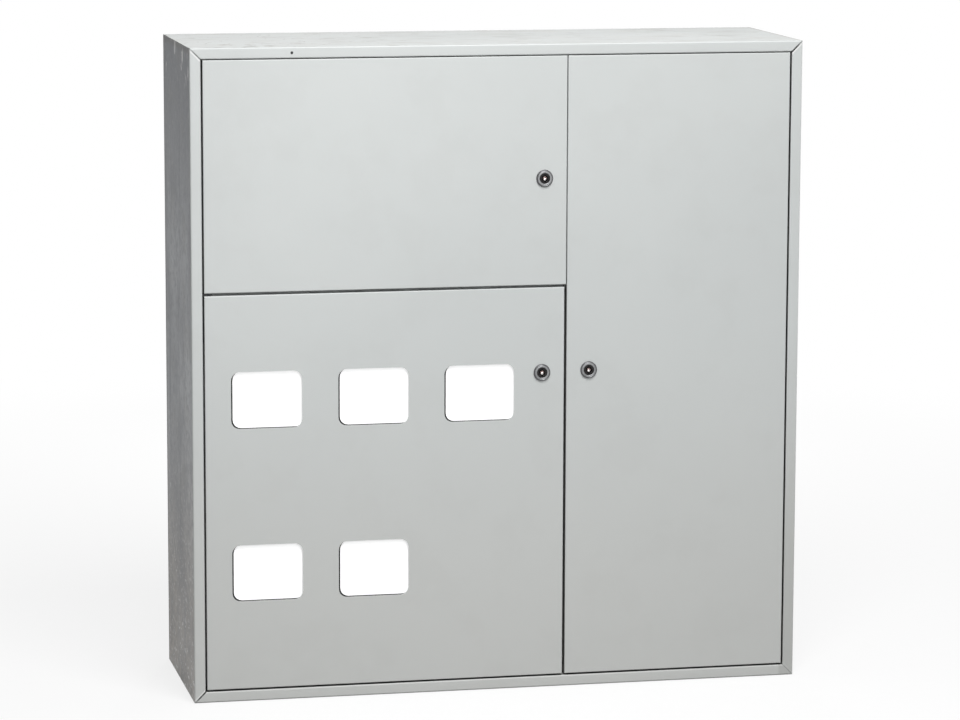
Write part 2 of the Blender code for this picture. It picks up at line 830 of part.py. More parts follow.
# ---- Meter windows ---------------------------------------------------------------------------


def window_centres():
    """Centres of the windows, upper row first, left to right."""
    centres = []
    for z, count in ((UPPER_ROW_Z, UPPER_ROW_COUNT), (LOWER_ROW_Z, LOWER_ROW_COUNT)):
        centres += [(WINDOW_FIRST_MIDDLE + WINDOW_PITCH * index, z) for index in range(count)]
    return centres


def row_ends(count, beyond):
    """Ends in x of a row of windows, each this far beyond the outer openings' edges."""
    half = WINDOW_WIDE / 2 + beyond
    return (WINDOW_FIRST_MIDDLE - half, WINDOW_FIRST_MIDDLE + WINDOW_PITCH * (count - 1) + half)


def make_windows(empty, materials):
    """A rubber seal and an opal pane behind each opening."""
    wide = WINDOW_WIDE + 2 * SEAL_EDGE
    high = WINDOW_HIGH + 2 * SEAL_EDGE
    seal_start = SHEET + FIT
    pane_start = seal_start + SEAL_THICK + FIT
    square = [(wide / 2, high / 2), (-wide / 2, high / 2), (-wide / 2, -high / 2), (wide / 2, -high / 2)]
    inner = rounded_outline(WINDOW_WIDE, WINDOW_HIGH, WINDOW_RADIUS, WINDOW_STEPS)
    shift = Vector((SEAL_SHIFT_X, 0, SEAL_SHIFT_Z))
    for number, (x, z) in enumerate(window_centres(), 1):
        place = board_point(x, 0, z)
        seal_bm = front_plate(square, seal_start, seal_start + SEAL_THICK)
        seal = add_object(f"window_seal_{number}", seal_bm, materials["seal"], place, empty)
        plug = front_plate(inner, 0, seal_start + SEAL_THICK + SHEET)
        cut(seal, [cutter("seal_opening", plug, place + shift)])
        pane_bm = front_plate(square, pane_start, pane_start + PANE_THICK)
        add_object(f"window_pane_{number}", pane_bm, materials["pane"], place, empty)


def make_glazing_rails(empty, materials):
    """Z-section rails along the top and bottom of each row, which press the panes onto their seals."""
    pane_back = SHEET + SEAL_THICK + PANE_THICK + 3 * FIT
    half = RAIL_SHEET / 2
    pane_half = WINDOW_HIGH / 2 + SEAL_EDGE
    rows = (("upper", UPPER_ROW_Z, UPPER_ROW_COUNT), ("lower", LOWER_ROW_Z, LOWER_ROW_COUNT))
    for row, row_z, count in rows:
        start, end = row_ends(count, SEAL_EDGE)
        for edge, side in (("top", 1), ("bottom", -1)):
            riser = pane_half + FIT + half
            path = [
                (pane_half - RAIL_OVERLAP, pane_back + FIT + half),
                (riser, pane_back + FIT + half),
                (riser, SHEET + FIT + half),
                (riser + RAIL_FOOT, SHEET + FIT + half),
            ]
            outline = folded_outline(path, RAIL_SHEET, RAIL_SHEET)
            outline = [(row_z + side * u, v) for u, v in outline]
            bm = straight_prism(outline, along_x, start, end)
            origin = Vector(empty.location)
            bmesh.ops.translate(bm, vec=-origin, verts=bm.verts)
            name = f"glazing_rail_{row}_{edge}"
            shade_round(add_object(name, bm, materials["galvanised"], origin, empty))


# ---- Inside fittings -------------------------------------------------------------------------


def hat_outline(low, high, standoff, sheet):
    """Section of a plate that stands off the back panel on two folded feet, as (across, depth)."""
    half = sheet / 2
    foot = BACK_FRONT - FIT - half
    crown = BACK_FRONT - standoff
    path = [
        (low - PLATE_FOOT, foot),
        (low, foot),
        (low, crown),
        (high, crown),
        (high, foot),
        (high + PLATE_FOOT, foot),
    ]
    return folded_outline(path, sheet, BEND)


def make_meter_plates(materials):
    """One folded plate behind each row of windows, with a pair of slots behind each window."""
    rows = (("upper", UPPER_ROW_Z, UPPER_ROW_COUNT), ("lower", LOWER_ROW_Z, LOWER_ROW_COUNT))
    for row, row_z, count in rows:
        start, end = row_ends(count, METER_PLATE_MARGIN)
        outline = hat_outline(start, end, PLATE_STANDOFF, SHEET)
        low = row_z - METER_PLATE_HIGH / 2
        bm = straight_prism(outline, board_point, low, low + METER_PLATE_HIGH)
        plate = add_object(f"meter_plate_{row}", bm, materials["galvanised"])
        slots = []
        crown = BACK_FRONT - PLATE_STANDOFF
        for x, z in window_centres():
            if z != row_z:
                continue
            for side in (-1, 1):
                middle = x + side * WINDOW_WIDE / 4
                slot = board_box(
                    (middle - METER_SLOT[0] / 2, middle + METER_SLOT[0] / 2),
                    (crown - 2 * SHEET, crown + 2 * SHEET),
                    (z - METER_SLOT[1] / 2, z + METER_SLOT[1] / 2),
                )
                slots.append(cutter("meter_slot", slot))
        cut(plate, slots)
        shade_round(plate)


def make_breaker_rails(materials):
    """Two hat-section uprights on the back panel, and two top-hat rails across them."""
    left_x = UPRIGHT_INSET
    right_x = DIVIDER_X - UPRIGHT_INSET
    low = SHELF_Z + SHEET + UPRIGHT_END_GAP
    high = HEIGHT - UPRIGHT_END_GAP - SHEET
    for side, x in (("left", left_x), ("right", right_x)):
        outline = hat_outline(x - UPRIGHT_WIDE / 2, x + UPRIGHT_WIDE / 2, UPRIGHT_STANDOFF, SHEET)
        bm = straight_prism(outline, board_point, low, high)
        shade_round(add_object(f"rail_upright_{side}", bm, materials["galvanised"]))
    half = DIN_SHEET / 2
    base = BACK_FRONT - UPRIGHT_STANDOFF - SHEET / 2 - FIT - half
    crown = base - DIN_DEEP + DIN_SHEET
    for row, share in zip(("lower", "upper"), DIN_ROWS):
        z = low + (high - low) * share
        path = [
            (z - DIN_WIDE / 2, crown),
            (z - DIN_CROWN / 2, crown),
            (z - DIN_CROWN / 2, base),
            (z + DIN_CROWN / 2, base),
            (z + DIN_CROWN / 2, crown),
            (z + DIN_WIDE / 2, crown),
        ]
        outline = folded_outline(path, DIN_SHEET, DIN_SHEET)
        bm = straight_prism(outline, along_x, left_x - UPRIGHT_WIDE / 2, right_x + UPRIGHT_WIDE / 2)
        shade_round(add_object(f"breaker_din_rail_{row}", bm, materials["zinc"]))


def make_telecom_board(materials):
    """A perforated plate that fills most of the right compartment."""
    start = DIVIDER_X + TELECOM_MARGIN_X
    end = WIDTH - TELECOM_MARGIN_X
    low = TELECOM_MARGIN_Z
    high = HEIGHT - TELECOM_MARGIN_Z
    bm = straight_prism(hat_outline(start, end, UPRIGHT_STANDOFF, SHEET), board_point, low, high)
    board = add_object("telecom_board", bm, materials["galvanised"])
    crown = BACK_FRONT - UPRIGHT_STANDOFF
    through = (crown - 2 * SHEET, crown + 2 * SHEET)
    half = TELECOM_HOLE / 2
    holes = []
    for column in range(TELECOM_COLUMNS):
        x = start + (end - start) * (column + 1) / (TELECOM_COLUMNS + 1)
        for row in range(TELECOM_ROWS):
            z = low + (high - low) * (row + 1) / (TELECOM_ROWS + 1)
            hole = board_box((x - half, x + half), through, (z - half, z + half))
            holes.append(cutter("board_hole", hole))
    cut(board, holes)
    shade_round(board)


def make_earth_bar(materials):
    """A drilled brass bar on two insulating posts that stand on the back panel."""
    post_start = BACK_FRONT - FIT - POST_HIGH
    half = POST_SIDE / 2
    reach = BAR_LONG / 2 - POST_SIDE
    for side, x in (("left", BAR_X - reach), ("right", BAR_X + reach)):
        depths = (post_start, post_start + POST_HIGH)
        bm = board_box((x - half, x + half), depths, (BAR_Z - half, BAR_Z + half))
        add_object(f"earth_bar_post_{side}", bm, materials["insulator"])
    bar_back = post_start - FIT
    bar = add_object(
        "earth_bar",
        board_box(
            (BAR_X - BAR_LONG / 2, BAR_X + BAR_LONG / 2),
            (bar_back - BAR_THICK, bar_back),
            (BAR_Z - BAR_HIGH / 2, BAR_Z + BAR_HIGH / 2),
        ),
        materials["brass"],
    )
    holes = []
    for index in range(BAR_HOLES):
        x = BAR_X + BAR_LONG * ((index + 1) / (BAR_HOLES + 1) - 0.5)
        rod = upright(round_rod(BAR_HOLE_RADIUS, -BAR_HIGH, BAR_HIGH, BAR_HOLE_STEPS))
        holes.append(cutter("wire_hole", rod, board_point(x, bar_back - BAR_THICK / 2, BAR_Z)))
    cut(bar, holes)
    shade_round(bar)


def make_gland_plates(bottom_wall, materials):
    """Removable plates over two cut-outs in the bottom wall, with round cable entries."""
    middles = (("left", DIVIDER_X / 2), ("right", (DIVIDER_X + WIDTH) / 2))
    d_range = (ENTRY_BACK - ENTRY_DEEP / 2, ENTRY_BACK + ENTRY_DEEP / 2)
    openings = []
    for side, x in middles:
        opening = board_box((x - ENTRY_WIDE / 2, x + ENTRY_WIDE / 2), d_range, (-SHEET, 2 * SHEET))
        openings.append(cutter(f"{side}_entry", opening))
        edge = ENTRY_WIDE / 2 + GLAND_OVERLAP
        plate = add_object(
            f"gland_plate_{side}",
            board_box(
                (x - edge, x + edge),
                (d_range[0] - GLAND_OVERLAP, d_range[1] + GLAND_OVERLAP),
                (WALL_INSIDE, WALL_INSIDE + GLAND_THICK),
            ),
            materials["coat"],
        )
        holes = []
        for index in range(GLAND_HOLES):
            hole_x = x + ENTRY_WIDE * ((index + 0.5) / GLAND_HOLES - 0.5)
            rod = upright(round_rod(GLAND_HOLE_RADIUS, -GLAND_THICK, 2 * GLAND_THICK, GLAND_HOLE_STEPS))
            holes.append(cutter("cable_hole", rod, board_point(hole_x, ENTRY_BACK, WALL_INSIDE)))
        cut(plate, holes)
        shade_round(plate)
    cut(bottom_wall, openings)


# ---- Whole board -----------------------------------------------------------------------------


def main():
    clear_scene()
    materials = make_materials()
    walls = make_walls(materials)
    make_back_panel(materials)
    make_vertical_divider(materials)
    make_divider_stop_angle(materials)
    make_shelf_divider(materials)
    make_shelf_stop_angle(materials)
    doors = plan_doors()
    for door in doors.values():
        empty = hinge_empty(door)
        make_door(door, empty, materials)
        make_lock(door, empty, materials)
        if door.name == "meter":
            make_windows(empty, materials)
            make_glazing_rails(empty, materials)
    make_frame_pin("breaker_door_top_pin", doors["breaker"], walls["top"], True, materials)
    make_frame_pin("telecom_door_top_pin", doors["telecom"], walls["top"], True, materials)
    make_frame_pin("meter_door_bottom_pin", doors["meter"], walls["bottom"], False, materials)
    make_frame_pin("telecom_door_bottom_pin", doors["telecom"], walls["bottom"], False, materials)
    make_middle_hinge(doors["meter"], materials)
    make_meter_plates(materials)
    make_breaker_rails(materials)
    make_telecom_board(materials)
    make_earth_bar(materials)
    make_gland_plates(walls["bottom"], materials)


main()
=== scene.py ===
import json
import math

import bmesh
import bpy
from mathutils import Matrix, Vector

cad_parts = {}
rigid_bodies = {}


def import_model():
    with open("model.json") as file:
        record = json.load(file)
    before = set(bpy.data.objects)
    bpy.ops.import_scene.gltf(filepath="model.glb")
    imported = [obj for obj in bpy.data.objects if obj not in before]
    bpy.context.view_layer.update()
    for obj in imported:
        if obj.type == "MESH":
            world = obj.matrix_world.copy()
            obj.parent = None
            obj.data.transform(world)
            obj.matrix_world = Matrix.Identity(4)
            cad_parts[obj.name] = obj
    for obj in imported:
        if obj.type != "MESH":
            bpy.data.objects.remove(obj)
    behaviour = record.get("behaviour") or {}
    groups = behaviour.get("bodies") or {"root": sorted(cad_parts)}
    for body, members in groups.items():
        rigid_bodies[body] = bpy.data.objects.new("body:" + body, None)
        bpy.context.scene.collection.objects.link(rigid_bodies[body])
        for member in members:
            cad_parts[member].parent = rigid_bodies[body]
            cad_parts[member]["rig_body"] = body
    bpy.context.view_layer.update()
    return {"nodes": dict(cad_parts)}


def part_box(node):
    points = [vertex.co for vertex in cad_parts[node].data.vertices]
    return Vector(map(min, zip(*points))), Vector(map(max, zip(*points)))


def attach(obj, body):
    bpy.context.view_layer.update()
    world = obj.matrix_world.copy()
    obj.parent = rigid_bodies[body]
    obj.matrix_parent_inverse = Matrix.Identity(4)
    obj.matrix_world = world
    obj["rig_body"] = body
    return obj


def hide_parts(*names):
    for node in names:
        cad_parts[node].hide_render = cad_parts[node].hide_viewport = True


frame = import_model()

# Looks of the three-door floor board: powder-coated sheet, meter windows, quarter-turn locks, and the
# fasteners, grommets and terminals inside. Metres, +Z up, the front faces -Y, as in the frame.

# Camera, in metres, degrees and millimetres of film
CAMERA_PLACE = (-1.2437, -5.7858, 1.4291)
CAMERA_TURN = (81.019, -0.179, -12.109)
LENS = 143.1
FILM_WIDE = 36.0

# Finer copies of the CAD pieces
WELD = 0.00001
FLAT_ANGLE = math.radians(0.5)
ROUND_ABOVE = math.radians(50)
SHEET_EDGE = 0.00022
SEAM_EDGE = 0.00035
METAL_EDGE = 0.0003
ROTOR_EDGE = 0.00015
CAST_CREASE = math.radians(50)
FINE_CREASE = math.radians(40)

# Powder coat, what gathers on it, and the painted shade and highlights laid on it, as scene-linear
# colours
COAT = (0.606, 0.628, 0.620)
COAT_DARK = (0.576, 0.598, 0.592)
COAT_STREAK = (0.400, 0.395, 0.370)
COAT_SCUFF_AND_HIGHLIGHT = (0.800, 0.800, 0.790)
COAT_EDGE_HIGHLIGHT = (0.700, 0.725, 0.715)
COAT_FOOT = (0.585, 0.594, 0.578)
RIGHT_FOOT_SHADE_TONE = (0.480, 0.487, 0.470)
WALL_DULL = (0.545, 0.560, 0.580)
WALL_DARK = (0.330, 0.340, 0.362)
WALL_WARM = (0.430, 0.385, 0.330)
SMEAR_AND_SHADE_TONE = (0.240, 0.222, 0.200)
DUST = (0.560, 0.545, 0.510)
# Painted shade for narrow gaps, mitre seams and the lock's foot
GAP_SHADE = (0.030, 0.030, 0.029)
MATT_DIRT = 0.50

# The board's outer faces, and where the two left doors meet
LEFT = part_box("left_side_wall")[0].x
LOW_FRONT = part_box("left_side_wall")[0].y
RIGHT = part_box("right_side_wall")[1].x
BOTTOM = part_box("bottom_wall")[0].z
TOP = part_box("top_wall")[1].z
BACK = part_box("top_wall")[1].y
SHELF_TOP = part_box("meter_door")[1].z
SHEET = 0.0015

# Pieces by finish
DOORS = ("breaker", "meter", "telecom")
COATED_INSIDE = (
    "back_panel",
    "vertical_divider",
    "divider_stop_angle",
    "shelf_divider",
    "gland_plate_left",
    "gland_plate_right",
)
GALVANISED_PIECES = (
    "glazing_rail_upper_top",
    "glazing_rail_upper_bottom",
    "glazing_rail_lower_top",
    "glazing_rail_lower_bottom",
    "meter_plate_upper",
    "meter_plate_lower",
    "rail_upright_left",
    "rail_upright_right",
    "telecom_board",
)
DIN_RAILS = ("breaker_din_rail_upper", "breaker_din_rail_lower")
HINGE_PIECES = (
    "middle_hinge_lug",
    "breaker_door_top_pin",
    "left_doors_middle_pin",
    "meter_door_bottom_pin",
    "telecom_door_top_pin",
    "telecom_door_bottom_pin",
)
WINDOWS = range(1, 6)
SCREWED_PLATES = {
    "meter_plate_upper": 2,
    "meter_plate_lower": 2,
    "rail_upright_left": 2,
    "rail_upright_right": 2,
    "telecom_board": 4,
}

# Quarter-turn lock, in metres; depths run back from the bezel's front face
LOCK_BORE_GAP = 0.0003
LOCK_SEAT_GAP = 0.0003
LOCK_BARREL_RADIUS = 0.010
LOCK_NECK_RADIUS = 0.0048
LOCK_SHOULDER_DEPTH = 0.0153
LOCK_RIM_IN = 0.0004
LOCK_RIM_WIDE = 0.0018
POST_RADIUS = 0.0034
POST_TIP_RADIUS = 0.0021
POST_TIP_LOW = 0.0012

# Fasteners and fittings, in metres
ROOT = 0.0008
PLUG_RADIUS = 0.0021
PLUG_FROM_LEFT = 0.1546
PLUG_BELOW_TOP = 0.0085
PLATE_SCREW = 0.0035
PLATE_FOOT = 0.015
PLATE_SCREW_INSET = 0.018
DIN_SCREW = (0.0045, 0.0028)
DIN_RAIL_THICK = 0.001
RAIL_NUT = (0.003, 0.007)
RAIL_NUT_IN = 0.006
RAIL_NUT_INSET = 0.012
RAIL_NUTS = {"upper": 4, "lower": 3}
RAIL_THICK = 0.0012
EARTH_STUD = (0.006, 0.016)
EARTH_STUD_FROM_HINGE = 0.045
EARTH_STUD_UP = 0.04
WALL_STUD_PLACE = (0.05, 0.10)
GLAND_SCREW = 0.0025
GLAND_SCREW_IN = 0.007
GROMMET_HOLE = 0.018
GROMMETS = 3
GLAND_MARGIN = 0.03
TERMINALS = 9
TERMINAL_SCREW = (0.0032, 0.0026)
POST_RIBS = 4
POST_END = 0.003
RIVET = 0.0036
RIVET_IN = 0.011
RIVETS_A_SIDE = 7
RIVET_INSET_ACROSS = 0.05
RIVET_INSET_UP = 0.09


# ---- Shader helpers --------------------------------------------------------------------------


class Wires:
    """Adds nodes to a shader tree, left to right, and joins sockets or sets their values."""

    def __init__(self, tree):
        self.tree = tree

    def add(self, kind, given=None, **settings):
        node = self.tree.nodes.new(kind)
        node.location = (len(self.tree.nodes) * 200, 0)
        for name, value in settings.items():
            setattr(node, name, value)
        for name, value in (given or {}).items():
            self.feed(node.inputs[name], value)
        return node

    def feed(self, socket, value):
        if isinstance(value, bpy.types.NodeSocket):
            self.tree.links.new(value, socket)
        elif socket.type == "RGBA" and len(value) == 3:
            socket.default_value = (*value, 1.0)
        else:
            socket.default_value = value

    def math(self, operation, first, second=0.0):
        return self.add("ShaderNodeMath", {0: first, 1: second}, operation=operation).outputs[0]

    def vector(self, operation, first, second):
        return self.add("ShaderNodeVectorMath", {0: first, 1: second}, operation=operation).outputs[0]

    def place(self):
        """Where the surface is on the object at rest, in metres."""
        return self.add("ShaderNodeTexCoord").outputs["Object"]

    def noise(self, where, scale, detail=3.0, roughness=0.5):
        given = {"Vector": where, "Scale": scale, "Detail": detail, "Roughness": roughness}
        return self.add("ShaderNodeTexNoise", given).outputs[0]

    def ramp(self, value, start, end, low=0.0, high=1.0):
        """Goes smoothly from low to high as the value goes from start to end."""
        given = {"Value": value, "From Min": start, "From Max": end, "To Min": low, "To Max": high}
        return self.add("ShaderNodeMapRange", given, interpolation_type="SMOOTHSTEP").outputs[0]

    def mix(self, mask, first, second):
        """Blends two colours. Sockets 6, 7 and output 2 are the colour ones of a Mix node."""
        given = {0: mask, 6: first, 7: second}
        return self.add("ShaderNodeMix", given, data_type="RGBA").outputs[2]

    def bump(self, height, distance, normal=None):
        given = {"Height": height, "Distance": distance, "Strength": 1.0}
        if normal is not None:
            given["Normal"] = normal
        return self.add("ShaderNodeBump", given).outputs[0]

    def use(self, group, output, **given):
        """Places a node group and gives one of its outputs. An input's name has _ for each space."""
        named = {name.replace("_", " "): value for name, value in given.items()}
        return self.add("ShaderNodeGroup", named, node_tree=group).outputs[output]


def start_group(name, inputs, outputs):
    """An empty node group with named sockets: its wires, its inputs and its output node."""
    group = bpy.data.node_groups.new(name, "ShaderNodeTree")
    for label, kind, value in inputs:
        socket = group.interface.new_socket(label, in_out="INPUT", socket_type=kind)
        socket.default_value = value
    for label, kind in outputs:
        group.interface.new_socket(label, in_out="OUTPUT", socket_type=kind)
    wires = Wires(group)
    given = wires.add("NodeGroupInput").outputs
    wires.result = wires.add("NodeGroupOutput").inputs
    return group, wires, given


FLOAT = "NodeSocketFloat"
VECTOR = "NodeSocketVector"


# ---- Shared finishes, as node groups ---------------------------------------------------------


def make_orange_peel():
    """Fine ripple of sprayed powder over the slow waves of thin sheet."""
    inputs = [("Grain", FLOAT, 0.0035), ("Depth", FLOAT, 0.00005)]
    inputs += [("Wave", FLOAT, 0.22), ("Wave Depth", FLOAT, 0.0006)]
    group, wires, given = start_group("orange_peel", inputs, [("Normal", VECTOR)])
    where = wires.place()
    ripple = wires.noise(where, wires.math("DIVIDE", 1.0, given["Grain"]), 1.5, 0.45)
    slow = wires.noise(where, wires.math("DIVIDE", 1.0, given["Wave"]), 0.0)
    waves = wires.bump(slow, given["Wave Depth"])
    wires.feed(wires.result["Normal"], wires.bump(ripple, given["Depth"], waves))
    return group


def make_patches():
    """Cloudy marks of a given size along X, Y and Z: tone, handling marks, streaks or fine grain."""
    inputs = [("Size", VECTOR, (0.2, 0.2, 0.2)), ("Cover", FLOAT, 0.5)]
    inputs += [("Softness", FLOAT, 0.2), ("Shift", FLOAT, 0.0)]
    group, wires, given = start_group("patches", inputs, [("Mask", FLOAT)])
    scaled = wires.vector("DIVIDE", wires.place(), given["Size"])
    moved = wires.vector("ADD", scaled, given["Shift"])
    cloud = wires.noise(moved, 1.0, 4.0, 0.55)
    edge = wires.math("SUBTRACT", 1.0, given["Cover"])
    low = wires.math("SUBTRACT", edge, given["Softness"])
    high = wires.math("ADD", edge, given["Softness"])
    wires.feed(wires.result["Mask"], wires.ramp(cloud, low, high))
    return group


def make_narrow_gaps():
    """Mask of what lies deep in a narrow gap, where the colour is darkened as painted shade."""
    group, wires, given = start_group("narrow_gaps", [("Reach", FLOAT, 0.008)], [("Mask", FLOAT)])
    open_share = wires.add("ShaderNodeAmbientOcclusion", {"Distance": given["Reach"]}, samples=8)
    wires.feed(wires.result["Mask"], wires.ramp(open_share.outputs["AO"], 0.65, 0.15))
    return group


def make_resting_dust():
    """Dust that lies on what faces up."""
    group, wires, given = start_group("resting_dust", [("Cover", FLOAT, 0.5)], [("Mask", FLOAT)])
    normal = wires.add("ShaderNodeNewGeometry").outputs["Normal"]
    up = wires.add("ShaderNodeSeparateXYZ", {0: normal}).outputs["Z"]
    cloud = wires.noise(wires.place(), 14.0, 6.0, 0.65)
    edge = wires.math("SUBTRACT", 1.0, given["Cover"])
    lying = wires.ramp(cloud, edge, wires.math("ADD", edge, 0.4))
    wires.feed(wires.result["Mask"], wires.math("MULTIPLY", wires.ramp(up, 0.5, 0.95), lying))
    return group


def make_edge_lines():
    """Mask of the narrow edges and bends: on the coat it carries a painted highlight or a painted
    darkening of the bends, on metals the rubbed edges.
    """
    group, wires, given = start_group("edge_lines", [("Radius", FLOAT, 0.001)], [("Mask", FLOAT)])
    rounded = wires.add("ShaderNodeBevel", {"Radius": given["Radius"]}, samples=4).outputs[0]
    plain = wires.add("ShaderNodeNewGeometry").outputs["Normal"]
    dot = wires.add("ShaderNodeVectorMath", {0: rounded, 1: plain}, operation="DOT_PRODUCT")
    wires.feed(wires.result["Mask"], wires.ramp(dot.outputs["Value"], 0.995, 0.90))
    return group


def make_corner_seams():
    """Painted shade in the four mitre seams of the front frame, and a painted highlight beside each."""
    inputs = [("Half Wide", FLOAT, 0.475), ("Half High", FLOAT, 0.5), ("Line", FLOAT, 0.0011)]
    group, wires, given = start_group("corner_seams", inputs, [("Mask", FLOAT), ("Highlight", FLOAT)])
    apart = wires.add("ShaderNodeSeparateXYZ", {0: wires.place()}).outputs
    in_x = wires.math("SUBTRACT", given["Half Wide"], wires.math("ABSOLUTE", apart["X"]))
    above = wires.math("SUBTRACT", apart["Z"], given["Half High"])
    in_z = wires.math("SUBTRACT", given["Half High"], wires.math("ABSOLUTE", above))
    off_line = wires.math("SUBTRACT", in_x, in_z)
    twice = wires.math("MULTIPLY", given["Line"], 2.0)
    line = wires.ramp(wires.math("ABSOLUTE", off_line), given["Line"], twice, 1.0, 0.0)
    open_corners = wires.ramp(wires.math("MULTIPLY", apart["X"], above), -0.05, 0.05, 0.55, 1.0)
    low_right = wires.ramp(wires.math("SUBTRACT", apart["X"], above), 0.70, 0.90, 1.0, 0.15)
    inner = wires.ramp(in_x, 0.002, 0.010, 0.35, 1.0)
    broken = wires.ramp(wires.noise(wires.place(), 160.0, 2.0), 0.20, 0.50, 0.5, 1.0)
    drawn = wires.math("MULTIPLY", wires.math("MULTIPLY", inner, broken), open_corners)
    drawn = wires.math("MULTIPLY", drawn, low_right)
    wires.feed(wires.result["Mask"], wires.math("MULTIPLY", line, drawn))
    beside = wires.math("ABSOLUTE", wires.math("ADD", off_line, wires.math("MULTIPLY", twice, 1.4)))
    highlight_line = wires.ramp(beside, given["Line"], twice, 0.8, 0.0)
    wires.feed(wires.result["Highlight"], wires.math("MULTIPLY", highlight_line, low_right))
    return group


def make_spangle():
    """Crystal flakes of hot-dip zinc: a grey tone for each flake."""
    group, wires, given = start_group("spangle", [("Size", FLOAT, 0.007)], [("Tone", FLOAT)])
    scale = wires.math("DIVIDE", 1.0, given["Size"])
    cells = wires.add("ShaderNodeTexVoronoi", {"Vector": wires.place(), "Scale": scale})
    tone = wires.add("ShaderNodeSeparateColor", {0: cells.outputs["Color"]}).outputs[0]
    wires.feed(wires.result["Tone"], tone)
    return group


ORANGE_PEEL = make_orange_peel()
PATCHES = make_patches()
NARROW_GAPS = make_narrow_gaps()
RESTING_DUST = make_resting_dust()
EDGE_LINES = make_edge_lines()
CORNER_SEAMS = make_corner_seams()
SPANGLE = make_spangle()


# ---- Materials -------------------------------------------------------------------------------


def new_material(name, metallic=0.0, specular=0.5):
    material = bpy.data.materials.new(name)
    material.use_nodes = True
    shader = material.node_tree.nodes["Principled BSDF"]
    shader.inputs["Metallic"].default_value = metallic
    shader.inputs["Specular IOR Level"].default_value = specular
    return material, Wires(material.node_tree), shader.inputs


def share(wires, mask, amount):
    return wires.math("MULTIPLY", mask, amount)


def patches(wires, size, cover=0.5, softness=0.2, shift=0.0):
    """Mask of cloudy marks; size is one number, or three for marks drawn out along an axis."""
    sizes = size if isinstance(size, tuple) else (size,) * 3
    return wires.use(PATCHES, "Mask", Size=sizes, Cover=cover, Softness=softness, Shift=shift)


def mark_mask(wires, amount, where, size, cover, softness, shift):
    """Where one kind of mark lies; where is a mask that says on what part of the piece."""
    mask = share(wires, patches(wires, size, cover, softness, shift), amount)
    if where is not None:
        mask = wires.math("MULTIPLY", mask, where)
    return mask


def mark(wires, colour, tone, *marks):
    """Lays one kind of mark on a colour."""
    return wires.mix(mark_mask(wires, *marks), colour, tone)


def shaded_right_foot(wires, colour):
    """The frame's right side, painted darker towards its foot as painted shade."""
    apart = wires.add("ShaderNodeSeparateXYZ", {0: wires.place()}).outputs
    right_side = wires.ramp(apart["X"], RIGHT - 0.026, RIGHT - 0.020)
    low = wires.ramp(apart["Z"], 0.60, 0.05)
    foot_shade_mask = share(wires, wires.math("MULTIPLY", right_side, low), 0.8)
    return wires.mix(foot_shade_mask, colour, RIGHT_FOOT_SHADE_TONE), None


def worn_wall(wires, colour):
    """Scuffed outer wall: cloudy dull coat with a coarse grain, painted shade darker above, a painted
    shadow under the top edge, and a warm dusty foot.
    """
    apart = wires.add("ShaderNodeSeparateXYZ", {0: wires.place()}).outputs
    height = apart["Z"]
    # Painted shade: the wall darker towards its top.
    upper = share(wires, wires.ramp(height, TOP - 0.36, TOP - 0.02), 0.55)
    foot = wires.ramp(height, 0.48, 0.02)
    near_top = wires.ramp(height, TOP - 0.075, TOP - 0.03)
    # Painted shadow just under the top edge.
    shadow_under_top_edge = share(wires, wires.ramp(height, TOP - 0.014, TOP - 0.003), 0.50)
    back_edge = share(wires, wires.ramp(apart["Y"], BACK - 0.012, BACK - 0.004), 0.60)
    # Each mark: amount, where, size along X Y Z, cover, softness, shift
    clouds = mark_mask(wires, 0.42, None, (0.09, 0.09, 0.16), 0.46, 0.16, 0.0)
    runs = mark_mask(wires, 0.42, None, (0.03, 0.03, 0.30), 0.42, 0.10, 8.3)
    dark_grain = mark_mask(wires, 0.42, None, (0.012, 0.012, 0.010), 0.46, 0.16, 5.1)
    light_grain = mark_mask(wires, 0.24, None, (0.012, 0.012, 0.009), 0.38, 0.10, 7.7)
    foot_scuffs = mark_mask(wires, 0.75, foot, (0.013, 0.013, 0.006), 0.37, 0.06, 1.9)
    scratches = mark_mask(wires, 1.00, near_top, (0.024, 0.024, 0.040), 0.38, 0.03, 4.4)
    colour = wires.mix(0.85, colour, WALL_DULL)
    colour = wires.mix(share(wires, foot, 0.80), colour, WALL_WARM)
    for dark in (clouds, runs, dark_grain, upper):
        colour = wires.mix(dark, colour, WALL_DARK)
    for light in (light_grain, foot_scuffs, scratches):
        colour = wires.mix(light, colour, COAT_SCUFF_AND_HIGHLIGHT)
    # Painted shadow under the top edge, and a darker band along the back edge.
    for darkening in (back_edge, shadow_under_top_edge):
        colour = wires.mix(darkening, colour, SMEAR_AND_SHADE_TONE)
    matt = clouds
    for dull in (runs, dark_grain, upper, back_edge, shadow_under_top_edge):
        matt = wires.math("MAXIMUM", matt, dull)
    for bright in (foot_scuffs, scratches):
        matt = wires.math("SUBTRACT", matt, bright)
    return colour, wires.math("MAXIMUM", matt, 0.0)


